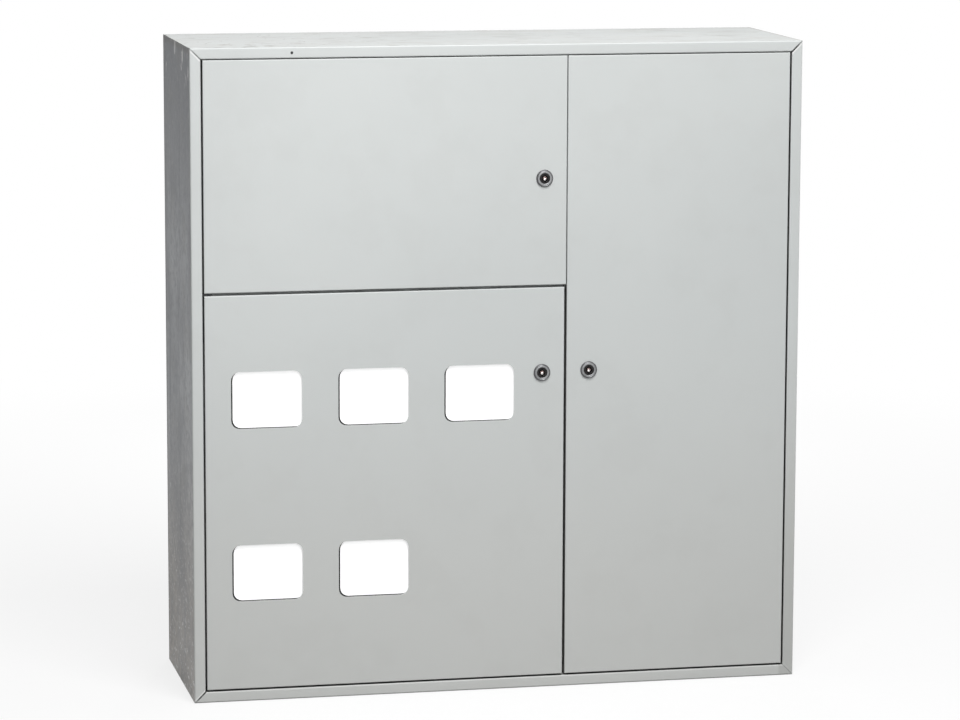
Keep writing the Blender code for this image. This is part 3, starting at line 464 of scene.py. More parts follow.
def smeared_top(wires, colour):
    """Top of the board: dust, finger smears, most of them at the left, and scuffs along the front."""
    apart = wires.add("ShaderNodeSeparateXYZ", {0: wires.place()}).outputs
    left_end = wires.ramp(apart["X"], LEFT + 0.42, LEFT + 0.12, 0.30, 1.0)
    right_edge = wires.ramp(apart["X"], RIGHT - 0.006, RIGHT - 0.002)
    front = wires.ramp(apart["Y"], LOW_FRONT + 0.022, LOW_FRONT + 0.006)
    front_left = wires.math("MULTIPLY", left_end, front)
    # Each mark: tone, amount, where, size along X Y Z, cover, softness, shift
    wiped = (COAT_STREAK, 0.35, None, (0.09, 0.05, 0.05), 0.42, 0.08, 0.0)
    smears = (SMEAR_AND_SHADE_TONE, 0.60, left_end, (0.030, 0.030, 0.02), 0.36, 0.06, 3.3)
    specks = (SMEAR_AND_SHADE_TONE, 0.85, left_end, (0.010, 0.016, 0.02), 0.33, 0.03, 6.1)
    front_scuffs = (SMEAR_AND_SHADE_TONE, 1.00, front_left, (0.035, 0.014, 0.02), 0.42, 0.03, 9.2)
    for tone, *marks in (wiped, smears, specks, front_scuffs):
        colour = mark(wires, colour, tone, *marks)
    colour = wires.mix(share(wires, right_edge, 0.5), colour, SMEAR_AND_SHADE_TONE)
    lying = wires.use(RESTING_DUST, "Mask", Cover=0.6)
    return wires.mix(share(wires, lying, 0.35), colour, DUST), None


def powder_coat(name, wear=None, marks=0.05, dust=0.0, gaps_below=1.1, seams=False, edge=COAT_EDGE_HIGHLIGHT):
    """Light grey textured coat; gaps_below is the height under which its narrow gaps are darkened as
    painted shade.

    wear takes the colour and gives the worn colour with any painted shade, and a mask of what is matt or
    None.
    """
    material, wires, shader = new_material(name)
    height = wires.add("ShaderNodeSeparateXYZ", {0: wires.place()}).outputs["Z"]
    colour = wires.mix(patches(wires, 0.45, 0.5, 0.25), COAT_DARK, COAT)
    colour = wires.mix(wires.ramp(height, 0.60, 0.05), colour, COAT_FOOT)
    matt = None
    if wear:
        colour, matt = wear(wires, colour)
    colour = mark(wires, colour, COAT_STREAK, marks, None, 0.07, 0.42, 0.1, 3.7)
    if dust:
        lying = wires.use(RESTING_DUST, "Mask", Cover=0.6)
        colour = wires.mix(share(wires, lying, dust), colour, DUST)
    # Painted highlight on edges and bends with the lighter edge tone; with COAT_DARK the bends are
    # painted darker to dim their highlight.
    edges = wires.use(EDGE_LINES, "Mask", Radius=0.0012)
    colour = wires.mix(share(wires, edges, 0.5), colour, edge)
    if seams:
        # Painted highlight beside each mitre seam, and painted shade along it.
        corners = {"Half_Wide": (RIGHT - LEFT) / 2, "Half_High": (TOP - BOTTOM) / 2}
        colour = wires.mix(wires.use(CORNER_SEAMS, "Highlight", **corners), colour, COAT_SCUFF_AND_HIGHLIGHT)
        colour = wires.mix(wires.use(CORNER_SEAMS, "Mask", **corners), colour, GAP_SHADE)
    # Painted shade: narrow gaps below gaps_below darken towards the shade tone.
    if gaps_below > BOTTOM:
        low = wires.ramp(height, gaps_below + 0.015, gaps_below - 0.005)
        deep = wires.math("MULTIPLY", low, wires.use(NARROW_GAPS, "Mask", Reach=0.008))
        colour = wires.mix(deep, colour, GAP_SHADE)
    wires.feed(shader["Base Color"], colour)
    sheen = patches(wires, 0.16, 0.5, 0.3, 1.3)
    roughness = wires.ramp(sheen, 0.0, 1.0, 0.40, 0.50)
    if matt is not None:
        roughness = wires.math("ADD", roughness, share(wires, matt, MATT_DIRT))
    wires.feed(shader["Roughness"], roughness)
    wires.feed(shader["Normal"], wires.use(ORANGE_PEEL, "Normal"))
    return material


def zinc_plate():
    """Bright zinc with a faint blue and straw passivation."""
    material, wires, shader = new_material("zinc_plate", metallic=1.0)
    colour = wires.mix(patches(wires, 0.02, 0.5, 0.25), (0.60, 0.63, 0.66), (0.70, 0.67, 0.56))
    edges = wires.use(EDGE_LINES, "Mask", Radius=0.0006)
    colour = wires.mix(share(wires, edges, 0.6), colour, (0.82, 0.82, 0.80))
    # Painted shade deep in narrow gaps.
    deep = wires.use(NARROW_GAPS, "Mask", Reach=0.006)
    wires.feed(shader["Base Color"], wires.mix(deep, colour, (0.10, 0.10, 0.10)))
    grain = patches(wires, (0.004, 0.0005, 0.0005), 0.5, 0.3)
    wires.feed(shader["Roughness"], wires.ramp(grain, 0.0, 1.0, 0.26, 0.42))
    wires.feed(shader["Normal"], wires.bump(grain, 0.00002))
    return material


def black_steel():
    """Oiled black oxide, for the hinge pins."""
    material, wires, shader = new_material("pin_black_oxide", metallic=0.9)
    worn = patches(wires, 0.003, 0.5, 0.2)
    edges = wires.use(EDGE_LINES, "Mask", Radius=0.0004)
    colour = wires.mix(worn, (0.020, 0.020, 0.022), (0.050, 0.050, 0.054))
    wires.feed(shader["Base Color"], wires.mix(share(wires, edges, 0.3), colour, (0.30, 0.30, 0.31)))
    wires.feed(shader["Roughness"], wires.ramp(worn, 0.0, 1.0, 0.30, 0.46))
    return material


def galvanised_sheet():
    """Hot-dip zinc with its flakes, dulled in patches."""
    material, wires, shader = new_material("galvanised_sheet", metallic=1.0)
    tone = wires.use(SPANGLE, "Tone", Size=0.006)
    colour = wires.mix(tone, (0.44, 0.46, 0.48), (0.64, 0.66, 0.67))
    dull = patches(wires, 0.09, 0.4, 0.15)
    colour = wires.mix(share(wires, dull, 0.5), colour, (0.46, 0.46, 0.45))
    wires.feed(shader["Base Color"], colour)
    wires.feed(shader["Roughness"], wires.ramp(tone, 0.0, 1.0, 0.34, 0.52))
    wires.feed(shader["Normal"], wires.bump(tone, 0.00001))
    return material


def lock_casting(name, dull, bright):
    """Satin nickel-plated die casting, with painted shade at its foot."""
    material, wires, shader = new_material(name, metallic=1.0)
    cloud = patches(wires, 0.006, 0.5, 0.3)
    colour = wires.mix(cloud, dull, bright)
    edges = wires.use(EDGE_LINES, "Mask", Radius=0.0005)
    colour = wires.mix(share(wires, edges, 0.3), colour, (0.42, 0.42, 0.42))
    # Painted shade where the casting meets the door.
    foot = wires.use(NARROW_GAPS, "Mask", Reach=0.003)
    wires.feed(shader["Base Color"], wires.mix(foot, colour, GAP_SHADE))
    wires.feed(shader["Roughness"], wires.ramp(cloud, 0.0, 1.0, 0.42, 0.54))
    fine = wires.noise(wires.place(), 2500.0, 2.0)
    wires.feed(shader["Normal"], wires.bump(fine, 0.00001))
    return material


def lock_insert():
    """Black oxide steel, oily and worn bright at its edges."""
    material, wires, shader = new_material("lock_dark_insert", metallic=0.8)
    edges = wires.use(EDGE_LINES, "Mask", Radius=0.0005)
    worn = patches(wires, 0.003, 0.5, 0.2)
    colour = wires.mix(worn, (0.012, 0.011, 0.012), (0.030, 0.028, 0.028))
    colour = wires.mix(share(wires, edges, 0.35), colour, (0.30, 0.30, 0.31))
    wires.feed(shader["Base Color"], colour)
    wires.feed(shader["Roughness"], wires.ramp(worn, 0.0, 1.0, 0.22, 0.4))
    return material


def key_post_steel(name, dull, bright):
    """Turned steel, handled by many keys."""
    material, wires, shader = new_material(name, metallic=1.0)
    rings = patches(wires, (0.003, 0.0003, 0.003), 0.5, 0.3)
    wires.feed(shader["Base Color"], wires.mix(rings, dull, bright))
    wires.feed(shader["Roughness"], wires.ramp(rings, 0.0, 1.0, 0.16, 0.26))
    return material


def black_rubber():
    material, wires, shader = new_material("black_rubber", specular=0.3)
    bloom = patches(wires, 0.02, 0.4, 0.2)
    wires.feed(shader["Base Color"], wires.mix(bloom, (0.018, 0.018, 0.019), (0.040, 0.040, 0.042)))
    wires.feed(shader["Roughness"], wires.ramp(bloom, 0.0, 1.0, 0.62, 0.8))
    fine = wires.noise(wires.place(), 1800.0, 2.0)
    wires.feed(shader["Normal"], wires.bump(fine, 0.00002))
    return material


def opal_acrylic():
    """White translucent sheet, glossy, with faint wipe marks; its emission is a painted glow."""
    material, wires, shader = new_material("opal_acrylic")
    cloud = patches(wires, 0.05, 0.5, 0.3)
    wires.feed(shader["Base Color"], wires.mix(cloud, (0.930, 0.935, 0.935), (0.955, 0.955, 0.955)))
    wiped = patches(wires, 0.03, 0.35, 0.1, 2.1)
    wires.feed(shader["Roughness"], wires.ramp(wiped, 0.0, 1.0, 0.14, 0.24))
    slow = wires.noise(wires.place(), 25.0, 0.0)
    wires.feed(shader["Normal"], wires.bump(slow, 0.00008))
    # Painted glow: emission that whitens the pane though nothing lights it from behind.
    shader["Emission Color"].default_value = (1.0, 1.0, 1.0, 1.0)
    shader["Emission Strength"].default_value = 0.50
    return material


def brass_bar():
    """Drawn brass, browned in places."""
    material, wires, shader = new_material("brass_bar", metallic=1.0)
    grain = patches(wires, (0.04, 0.0004, 0.0004), 0.5, 0.3)
    colour = wires.mix(grain, (0.66, 0.47, 0.20), (0.78, 0.58, 0.28))
    tarnish = patches(wires, 0.02, 0.45, 0.2)
    colour = wires.mix(share(wires, tarnish, 0.5), colour, (0.46, 0.31, 0.13))
    wires.feed(shader["Base Color"], colour)
    wires.feed(shader["Roughness"], wires.ramp(grain, 0.0, 1.0, 0.24, 0.38))
    wires.feed(shader["Normal"], wires.bump(grain, 0.00002))
    return material


def red_insulator():
    """Glass-filled moulding compound."""
    material, wires, shader = new_material("red_insulator")
    flecks = wires.noise(wires.place(), 900.0, 3.0, 0.6)
    wires.feed(shader["Base Color"], wires.mix(flecks, (0.36, 0.035, 0.022), (0.50, 0.070, 0.045)))
    wires.feed(shader["Roughness"], wires.ramp(flecks, 0.3, 0.7, 0.40, 0.56))
    wires.feed(shader["Normal"], wires.bump(flecks, 0.00003))
    return material


# These coats differ in where painted shade falls: gaps_below sets where narrow gaps are darkened, and
# edge=COAT_DARK paints the bends darker.
COAT_FRONT = powder_coat("coat_front", wear=shaded_right_foot, seams=True, edge=COAT_DARK)
COAT_DOOR = powder_coat("coat_door")
COAT_DOOR_TOP = powder_coat("coat_door_top", gaps_below=BOTTOM)
COAT_DOOR_LEFT = powder_coat("coat_door_left", gaps_below=SHELF_TOP)
COAT_SIDE = powder_coat("coat_side", wear=worn_wall, marks=0.2)
COAT_TOP = powder_coat("coat_top", wear=smeared_top, marks=0.1, edge=COAT_DARK)
COAT_INSIDE = powder_coat("coat_inside", marks=0.12, dust=0.3)
ZINC = zinc_plate()
PIN_STEEL = black_steel()
GALVANISED = galvanised_sheet()
CASTING = lock_casting("lock_die_cast", (0.21, 0.215, 0.22), (0.31, 0.315, 0.32))
# Darker copy of the casting for the bezel rim: painted shade that also dims its highlight.
CASTING_SHADED_RIM = lock_casting("lock_die_cast_shaded_rim", (0.09, 0.09, 0.095), (0.15, 0.15, 0.155))
INSERT = lock_insert()
# A bright steel for the tip and a dark one for the post body: together a painted glint.
POST_GLINT_STEEL = key_post_steel("key_post_steel", (0.70, 0.66, 0.64), (0.86, 0.84, 0.83))
POST_DARK = key_post_steel("key_post_dark", (0.20, 0.14, 0.13), (0.34, 0.26, 0.25))
RUBBER = black_rubber()
ACRYLIC = opal_acrylic()
BRASS = brass_bar()
INSULATOR = red_insulator()


# ---- Mesh helpers ----------------------------------------------------------------------------


def add_piece(name, bm, materials, body):
    """Makes a smooth-shaded piece from a bmesh in frame coordinates, riding on a body."""
    mesh = bpy.data.meshes.new(name)
    bm.to_mesh(mesh)
    bm.free()
    for material in materials:
        mesh.materials.append(material)
    mesh.shade_smooth()
    piece = bpy.data.objects.new(name, mesh)
    bpy.context.scene.collection.objects.link(piece)
    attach(piece, body)
    return piece


def round_edges(piece, width, segments=2):
    """Rounds the sharp edges and keeps the flat faces flat in the shading."""
    bevel = piece.modifiers.new("rounded_edges", "BEVEL")
    bevel.width = width
    bevel.segments = segments
    bevel.limit_method = "ANGLE"
    bevel.angle_limit = ROUND_ABOVE
    bevel.harden_normals = True
    level = piece.modifiers.new("flat_faces", "WEIGHTED_NORMAL")
    level.keep_sharp = True


def body_of(node):
    return frame["nodes"][node]["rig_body"]


def finer(node, material, width=SHEET_EDGE, faces=()):
    """A finer copy of a CAD piece: welded, its flats joined, its edges rounded and its bends smooth.

    faces holds (test, material) pairs: a face that passes a test takes that material.
    """
    bm = bmesh.new()
    bm.from_mesh(frame["nodes"][node].data)
    bmesh.ops.remove_doubles(bm, verts=bm.verts, dist=WELD)
    bmesh.ops.dissolve_limit(bm, angle_limit=FLAT_ANGLE, verts=bm.verts, edges=bm.edges)
    for face in bm.faces:
        passed = [index for index, pair in enumerate(faces) if pair[0](face)]
        face.material_index = passed[0] + 1 if passed else 0
    materials = [material] + [pair[1] for pair in faces]
    piece = add_piece("fine_" + node, bm, materials, body_of(node))
    round_edges(piece, width)
    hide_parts(node)
    return piece


def turn_profile(bm, profile, steps, place):
    """Adds a turned body: profile is (radius, height) from one end to the other along the place's Z."""
    rings = []
    for radius, height in profile:
        count = 1 if radius == 0 else steps
        ring = []
        for step in range(count):
            angle = 2 * math.pi * step / steps
            point = Vector((radius * math.cos(angle), radius * math.sin(angle), height))
            ring.append(bm.verts.new(place @ point))
        rings.append(ring)
    pairs = list(zip(rings, rings[1:]))
    if len(rings[0]) > 1:
        pairs.append((rings[-1], rings[0]))
    for one, two in pairs:
        for step in range(steps):
            following = (step + 1) % steps
            corners = [one[step % len(one)], one[following % len(one)]]
            corners += [two[following % len(two)], two[step % len(two)]]
            bm.faces.new(list(dict.fromkeys(corners)))


def facing(point, direction):
    """A place at a point whose Z runs along a direction."""
    turn = Vector((0, 0, 1)).rotation_difference(Vector(direction)).to_matrix().to_4x4()
    return Matrix.Translation(point) @ turn


def finish_bmesh(bm):
    bmesh.ops.recalc_face_normals(bm, faces=bm.faces)
    return bm


# ---- Fasteners -------------------------------------------------------------------------------


def add_hex_screw(bm, place, radius):
    """A hexagon head on a washer, standing on the place's XY plane."""
    thick = radius * 0.25
    turn_profile(bm, [(0, -thick), (radius * 1.7, -thick), (radius * 1.7, thick), (0, thick)], 24, place)
    head = place @ Matrix.Translation((0, 0, thick))
    high = radius * 0.9
    across = radius * 1.12
    profile = [(0, 0), (across, 0), (across, high * 0.8), (radius * 0.95, high), (0, high)]
    turn_profile(bm, profile, 6, head)


def add_stud(bm, place, radius, length):
    """A threaded stud with a washer and a nut."""
    shank = radius * 0.5
    stud = [(0, -ROOT), (shank, -ROOT), (shank, length * 0.94), (radius * 0.38, length), (0, length)]
    turn_profile(bm, stud, 16, place)
    thick = radius * 0.2
    washer = [(radius * 0.55, 0), (radius * 1.9, 0), (radius * 1.9, thick), (radius * 0.55, thick)]
    turn_profile(bm, washer, 24, place)
    high = radius * 0.95
    bore = radius * 0.52
    face = radius * 1.02
    across = radius * 1.15
    nut = [(bore, 0), (face, 0), (across, high * 0.15), (across, high * 0.85), (face, high), (bore, high)]
    turn_profile(bm, nut, 6, place @ Matrix.Translation((0, 0, thick)))


def add_rivet(bm, place, radius):
    """A blind rivet's dome, with the dimple of its broken mandrel."""
    dome = [(0, -radius * 0.3), (radius, -radius * 0.3), (radius, 0)]
    for step in range(1, 5):
        angle = math.radians(90) * step / 5
        dome.append((radius * math.cos(angle), radius * 0.4 * math.sin(angle)))
    dome += [(radius * 0.26, radius * 0.4), (radius * 0.22, radius * 0.24), (0, radius * 0.22)]
    turn_profile(bm, dome, 24, place)


def add_slotted_screw(bm, place, radius, high):
    """A cheese head: a round base with two half-round lands and a slot between them."""
    base = high * 0.55
    turn_profile(bm, [(0, -base), (radius, -base), (radius, base), (0, base)], 24, place)
    slot = radius * 0.16
    for side in (1, -1):
        reach = math.acos(slot / radius)
        outline = []
        for step in range(11):
            angle = -reach + 2 * reach * step / 10
            outline.append((side * radius * math.cos(angle), radius * math.sin(angle)))
        low = [bm.verts.new(place @ Vector((x, y, base * 0.8))) for x, y in outline]
        top = [bm.verts.new(place @ Vector((x, y, high))) for x, y in outline]
        bm.faces.new(low)
        bm.faces.new(top)
        for index, point in enumerate(low):
            following = (index + 1) % len(low)
            bm.faces.new((point, low[following], top[following], top[index]))


def fastener_set(name, add, places, material, slot, body, *sizes):
    bm = bmesh.new()
    for place in places:
        add(bm, place, *sizes)
    piece = add_piece(name, finish_bmesh(bm), [material], body)
    piece.data.set_sharp_from_angle(angle=FINE_CREASE)
    return piece


# ---- Sheet metal -----------------------------------------------------------------------------


def outer_face(node, axis, side):
    """Test for a piece's outermost flat face on one side of an axis: side is 0 for low, 1 for high."""
    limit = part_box(node)[side][axis]
    towards = 1 if side else -1

    def passes(face):
        return face.normal[axis] * towards > 0.99 and abs(face.calc_center_median()[axis] - limit) < WELD

    return passes


def wall(node, *faces):
    finer(node, COAT_FRONT, SEAM_EDGE, faces)


wall("left_side_wall", (outer_face("left_side_wall", 0, 0), COAT_SIDE))
wall("right_side_wall", (outer_face("right_side_wall", 0, 1), COAT_SIDE))
wall("top_wall", (outer_face("top_wall", 2, 1), COAT_TOP))
wall("bottom_wall")
for door in DOORS:
    node = door + "_door"
    returns = [(outer_face(node, 2, 1), COAT_DOOR_TOP)]
    if door == "breaker":
        returns.append((outer_face(node, 0, 1), COAT_DOOR_TOP))
        returns.append((outer_face(node, 2, 0), COAT_DOOR_TOP))
    if door == "telecom":
        returns.append((outer_face(node, 0, 0), COAT_DOOR_LEFT))
    finer(node, COAT_DOOR, SHEET_EDGE, returns)
for node in COATED_INSIDE:
    finer(node, COAT_INSIDE)
finer("shelf_stop_angle", COAT_DOOR_TOP)
for node in GALVANISED_PIECES:
    finer(node, GALVANISED)
for node in DIN_RAILS:
    finer(node, ZINC)
for node in HINGE_PIECES:
    finer(node, PIN_STEEL)


# ---- Windows ---------------------------------------------------------------------------------


for number in WINDOWS:
    finer(f"window_seal_{number}", RUBBER, METAL_EDGE)
    finer(f"window_pane_{number}", ACRYLIC, METAL_EDGE)


# ---- Locks -----------------------------------------------------------------------------------


def turned_piece(name, profile, steps, place, material, body):
    """A turned body as a piece of its own."""
    bm = bmesh.new()
    turn_profile(bm, profile, steps, place)
    return add_piece(name, finish_bmesh(bm), [material], body)


def make_barrel(door, front, low, high):
    """The bezel with its rim painted darker as painted shade, and the barrel and hollow neck behind it.
    """
    _, rotor_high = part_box(door + "_lock_rotor")
    bore = rotor_high.x - front.x + LOCK_BORE_GAP
    rim = high.x - front.x - LOCK_RIM_IN
    back = high.y - low.y
    seat = LOW_FRONT - low.y - LOCK_SEAT_GAP
    profile = [
        (bore, 0.0007),
        (bore + 0.0004, 0.0002),
        (bore + 0.0010, 0.0),
        (bore + 0.0022, 0.0),
        (bore + 0.0026, 0.0003),
        (bore + 0.0030, 0.0),
        (rim - 0.0016, 0.0001),
        (rim - 0.0012, 0.0005),
        (rim - 0.0003, 0.0010),
        (rim, 0.0019),
        (rim, seat),
        (LOCK_BARREL_RADIUS, seat),
        (LOCK_BARREL_RADIUS, back),
        (LOCK_NECK_RADIUS, back),
        (LOCK_NECK_RADIUS, LOCK_SHOULDER_DEPTH),
        (bore, LOCK_SHOULDER_DEPTH),
    ]
    bm = bmesh.new()
    turn_profile(bm, profile, 64, facing(front, (0, 1, 0)))
    # The outer rim takes the darker casting as painted shade.
    for face in bm.faces:
        centre = face.calc_center_median()
        if math.hypot(centre.x - front.x, centre.z - front.z) > rim - LOCK_RIM_WIDE:
            face.material_index = 1
    metals = [CASTING, CASTING_SHADED_RIM]
    name = f"fine_{door}_lock_barrel"
    shell = add_piece(name, finish_bmesh(bm), metals, door + "_door")
    shell.data.set_sharp_from_angle(angle=CAST_CREASE)
    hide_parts(door + "_lock_barrel")


def make_key_post(door, front, recess):
    """The post that a key fits over, dark, and its bright tip set low, which together paint a glint in
    the post's lower half.
    """
    end = recess + 0.006
    post = POST_RADIUS
    profile = [(0, end), (post, end), (post, recess), (post * 0.7, recess - 0.0003)]
    profile += [(post * 0.4, recess + 0.0009), (0, recess + 0.0012)]
    place = facing(front, (0, 1, 0))
    turned_piece(door + "_key_post", profile, 5, place, POST_DARK, door + "_lock")
    # Painted glint: a bright tip set below the post's centre.
    end = recess + 0.004
    tip = POST_TIP_RADIUS
    profile = [(0, end), (tip, end), (tip, recess - 0.0003)]
    profile += [(tip * 0.5, recess - 0.0006), (0, recess - 0.0006)]
    place = facing(front - Vector((0, 0, POST_TIP_LOW)), (0, 1, 0))
    turned_piece(door + "_key_post_tip", profile, 7, place, POST_GLINT_STEEL, door + "_lock")


def make_lock(door):
    """The finer barrel and bezel, the insert with its key post, and the nut, cam and screw."""
    low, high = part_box(door + "_lock_barrel")
    middle = (low + high) / 2
    front = Vector((middle.x, low.y, middle.z))
    make_barrel(door, front, low, high)
    finer(door + "_lock_rotor", INSERT, ROTOR_EDGE)
    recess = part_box(door + "_lock_rotor")[0].y - low.y
    make_key_post(door, front, recess)
    for part in ("lock_nut", "lock_cam", "cam_screw"):
        finer(f"{door}_{part}", ZINC, METAL_EDGE)


for door in DOORS:
    make_lock(door)


# ---- Fasteners on the real pieces ------------------------------------------------------------


def add_blanking_plug(bm, place, radius):
    """A pushed-in plug: a low dome with a small dimple."""
    dome = [(0, -radius * 0.4), (radius * 0.8, -radius * 0.4), (radius, 0), (radius * 0.9, radius * 0.25)]
    dome += [(radius * 0.5, radius * 0.45), (radius * 0.2, radius * 0.4), (0, radius * 0.3)]
    turn_profile(bm, dome, 24, place)


def frame_plug():
    """The plug in a spare hole of the frame's top face."""
    place = facing((LEFT + PLUG_FROM_LEFT, LOW_FRONT, TOP - PLUG_BELOW_TOP), (0, -1, 0))
    fastener_set(
        "frame_hole_plug", add_blanking_plug, [place], RUBBER, "black_rubber", "enclosure", PLUG_RADIUS
    )


frame_plug()


def zinc_fasteners(name, add, places, body, *sizes):
    fastener_set(name, add, places, ZINC, "zinc_plate", body, *sizes)


def spread(start, end, count, inset):
    """Count places from start + inset to end - inset."""
    step = (end - start - 2 * inset) / (count - 1)
    return [start + inset + step * index for index in range(count)]


def foot_screws(node, count):
    """Screws through the two folded feet of a plate that stands on the back panel."""
    low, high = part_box(node)
    places = []
    for x in (low.x + PLATE_FOOT / 2, high.x - PLATE_FOOT / 2):
        for z in spread(low.z, high.z, count, PLATE_SCREW_INSET):
            places.append(facing((x, high.y - SHEET, z), (0, -1, 0)))
    zinc_fasteners(node + "_screws", add_hex_screw, places, "enclosure", PLATE_SCREW)


for node, count in SCREWED_PLATES.items():
    foot_screws(node, count)


def din_rail_screws(node):
    low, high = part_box(node)
    places = []
    for upright in ("rail_upright_left", "rail_upright_right"):
        upright_low, upright_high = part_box(upright)
        x = (upright_low.x + upright_high.x) / 2
        places.append(facing((x, high.y - DIN_RAIL_THICK, (low.z + high.z) / 2), (0, -1, 0)))
    zinc_fasteners(node + "_screws", add_slotted_screw, places, "enclosure", *DIN_SCREW)


for node in DIN_RAILS:
    din_rail_screws(node)


def rail_nuts(row, edge):
    """Studs and nuts that hold a glazing rail's foot to the inside of the meter door."""
    node = f"glazing_rail_{row}_{edge}"
    low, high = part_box(node)
    z = high.z - RAIL_NUT_IN if edge == "top" else low.z + RAIL_NUT_IN
    places = []
    for x in spread(low.x, high.x, RAIL_NUTS[row], RAIL_NUT_INSET):
        places.append(facing((x, low.y + RAIL_THICK, z), (0, 1, 0)))
    zinc_fasteners(node + "_nuts", add_stud, places, "meter_door", *RAIL_NUT)


for row in RAIL_NUTS:
    for edge in ("top", "bottom"):
        rail_nuts(row, edge)


def earth_stud(name, body, point, direction):
    zinc_fasteners(name, add_stud, [facing(point, direction)], body, *EARTH_STUD)


def earth_studs():
    """One on the hinge side of each door, and one on each side wall."""
    for door in DOORS:
        low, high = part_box(door + "_door")
        hinge_right = door == "telecom"
        x = high.x - EARTH_STUD_FROM_HINGE if hinge_right else low.x + EARTH_STUD_FROM_HINGE
        point = (x, low.y + SHEET, low.z + EARTH_STUD_UP)
        earth_stud(door + "_door_earth_stud", door + "_door", point, (0, 1, 0))
    earth_stud("left_earth_stud", "enclosure", (LEFT + SHEET, *WALL_STUD_PLACE), (1, 0, 0))
    earth_stud("right_earth_stud", "enclosure", (RIGHT - SHEET, *WALL_STUD_PLACE), (-1, 0, 0))


earth_studs()


def grommet_profile(plate):
    """A stepped blind rubber grommet, pinched around the edge of a hole in a plate."""
    hole = GROMMET_HOLE
    return [
        (0, plate + 0.0065),
        (hole * 0.26, plate + 0.0065),
        (hole * 0.30, plate + 0.0055),
        (hole * 0.52, plate + 0.0050),
        (hole * 0.56, plate + 0.0035),
        (hole * 0.86, plate + 0.0030),
        (hole * 0.92, plate + 0.0022),
        (hole + 0.0032, plate + 0.0020),
        (hole + 0.0036, plate + 0.0012),
        (hole + 0.0034, plate + 0.0003),
        (hole - 0.0004, plate + 0.0003),
        (hole - 0.0004, -0.0003),
        (hole + 0.0024, -0.0003),
        (hole + 0.0022, -0.0012),
        (hole * 0.80, -0.0012),
        (hole * 0.78, plate + 0.0015),
        (0, plate + 0.0020),
    ]


def gland_details(side):
    """Edge screws of a gland plate, and a stepped rubber grommet in each cable hole."""
    node = f"gland_plate_{side}"
    low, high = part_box(node)
    middle = (low + high) / 2
    places = []
    for x in (low.x + GLAND_SCREW_IN, middle.x, high.x - GLAND_SCREW_IN):
        for y in (low.y + GLAND_SCREW_IN, high.y - GLAND_SCREW_IN):
            places.append(facing((x, y, high.z), (0, 0, 1)))
    zinc_fasteners(node + "_screws", add_hex_screw, places, "enclosure", GLAND_SCREW)
    pitch = (high.x - low.x - GLAND_MARGIN) / GROMMETS
    profile = grommet_profile(high.z - low.z)
    for index in range(GROMMETS):
        place = facing((middle.x + (index - 1) * pitch, middle.y, low.z), (0, 0, 1))
        name = f"{side}_cable_grommet_{index + 1}"
        grommet = turned_piece(name, profile, 40, place, RUBBER, "enclosure")
        grommet.data.set_sharp_from_angle(angle=CAST_CREASE)


gland_details("left")
gland_details("right")


def earth_bar_post(side):
    """A ribbed round insulator under one end of the earth bar."""
    node = f"earth_bar_post_{side}"
    low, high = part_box(node)
    middle = (low + high) / 2
    radius = (high.x - low.x) / 2
    waist = radius * 0.78
    long = high.y - low.y
    step = (long - 2 * POST_END) / POST_RIBS
    profile = [(0, 0), (radius * 0.9, 0), (radius, 0.0006)]
    for rib in range(POST_RIBS):
        start = POST_END + step * rib
        profile += [(radius, start), (waist, start + step * 0.25)]
        profile += [(waist, start + step * 0.6), (radius, start + step * 0.85)]
    profile += [(radius, long - 0.0006), (radius * 0.9, long), (0, long)]
    place = facing((middle.x, high.y, middle.z), (0, -1, 0))
    post = turned_piece(f"fine_{node}", profile, 40, place, INSULATOR, "enclosure")
    post.data.set_sharp_from_angle(angle=FINE_CREASE)
    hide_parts(node)


def make_earth_bar():
    """The drilled bar with its terminal screws, on its two insulators."""
    finer("earth_bar", BRASS, METAL_EDGE)
    low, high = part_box("earth_bar")
    places = []
    for index in range(TERMINALS):
        x = low.x + (high.x - low.x) * (index + 1) / (TERMINALS + 1)
        places.append(facing((x, low.y, (low.z + high.z) / 2), (0, -1, 0)))
    zinc_fasteners("earth_bar_screws", add_slotted_screw, places, "enclosure", *TERMINAL_SCREW)
    earth_bar_post("left")
    earth_bar_post("right")


make_earth_bar()


def back_rivets():
    """Blind rivets through the walls' rear flanges into the back panel."""
    places = []
    for x in spread(LEFT, RIGHT, RIVETS_A_SIDE, RIVET_INSET_ACROSS):
        places.append(facing((x, BACK, BOTTOM + RIVET_IN), (0, 1, 0)))
        places.append(facing((x, BACK, TOP - RIVET_IN), (0, 1, 0)))
    for z in spread(BOTTOM, TOP, RIVETS_A_SIDE, RIVET_INSET_UP):
        places.append(facing((LEFT + RIVET_IN, BACK, z), (0, 1, 0)))
        places.append(facing((RIGHT - RIVET_IN, BACK, z), (0, 1, 0)))
    zinc_fasteners("back_rivets", add_rivet, places, "enclosure", RIVET)


back_rivets()


# ---- Floor, backdrop and light ---------------------------------------------------------------


def background_rays(wires):
    """1 for the rays that should see the white background: camera, mirror and through glass."""
    rays = wires.add("ShaderNodeLightPath").outputs
    shiny = wires.math("MAXIMUM", rays["Is Glossy Ray"], rays["Is Transmission Ray"])
    return wires.math("MAXIMUM", rays["Is Camera Ray"], shiny)


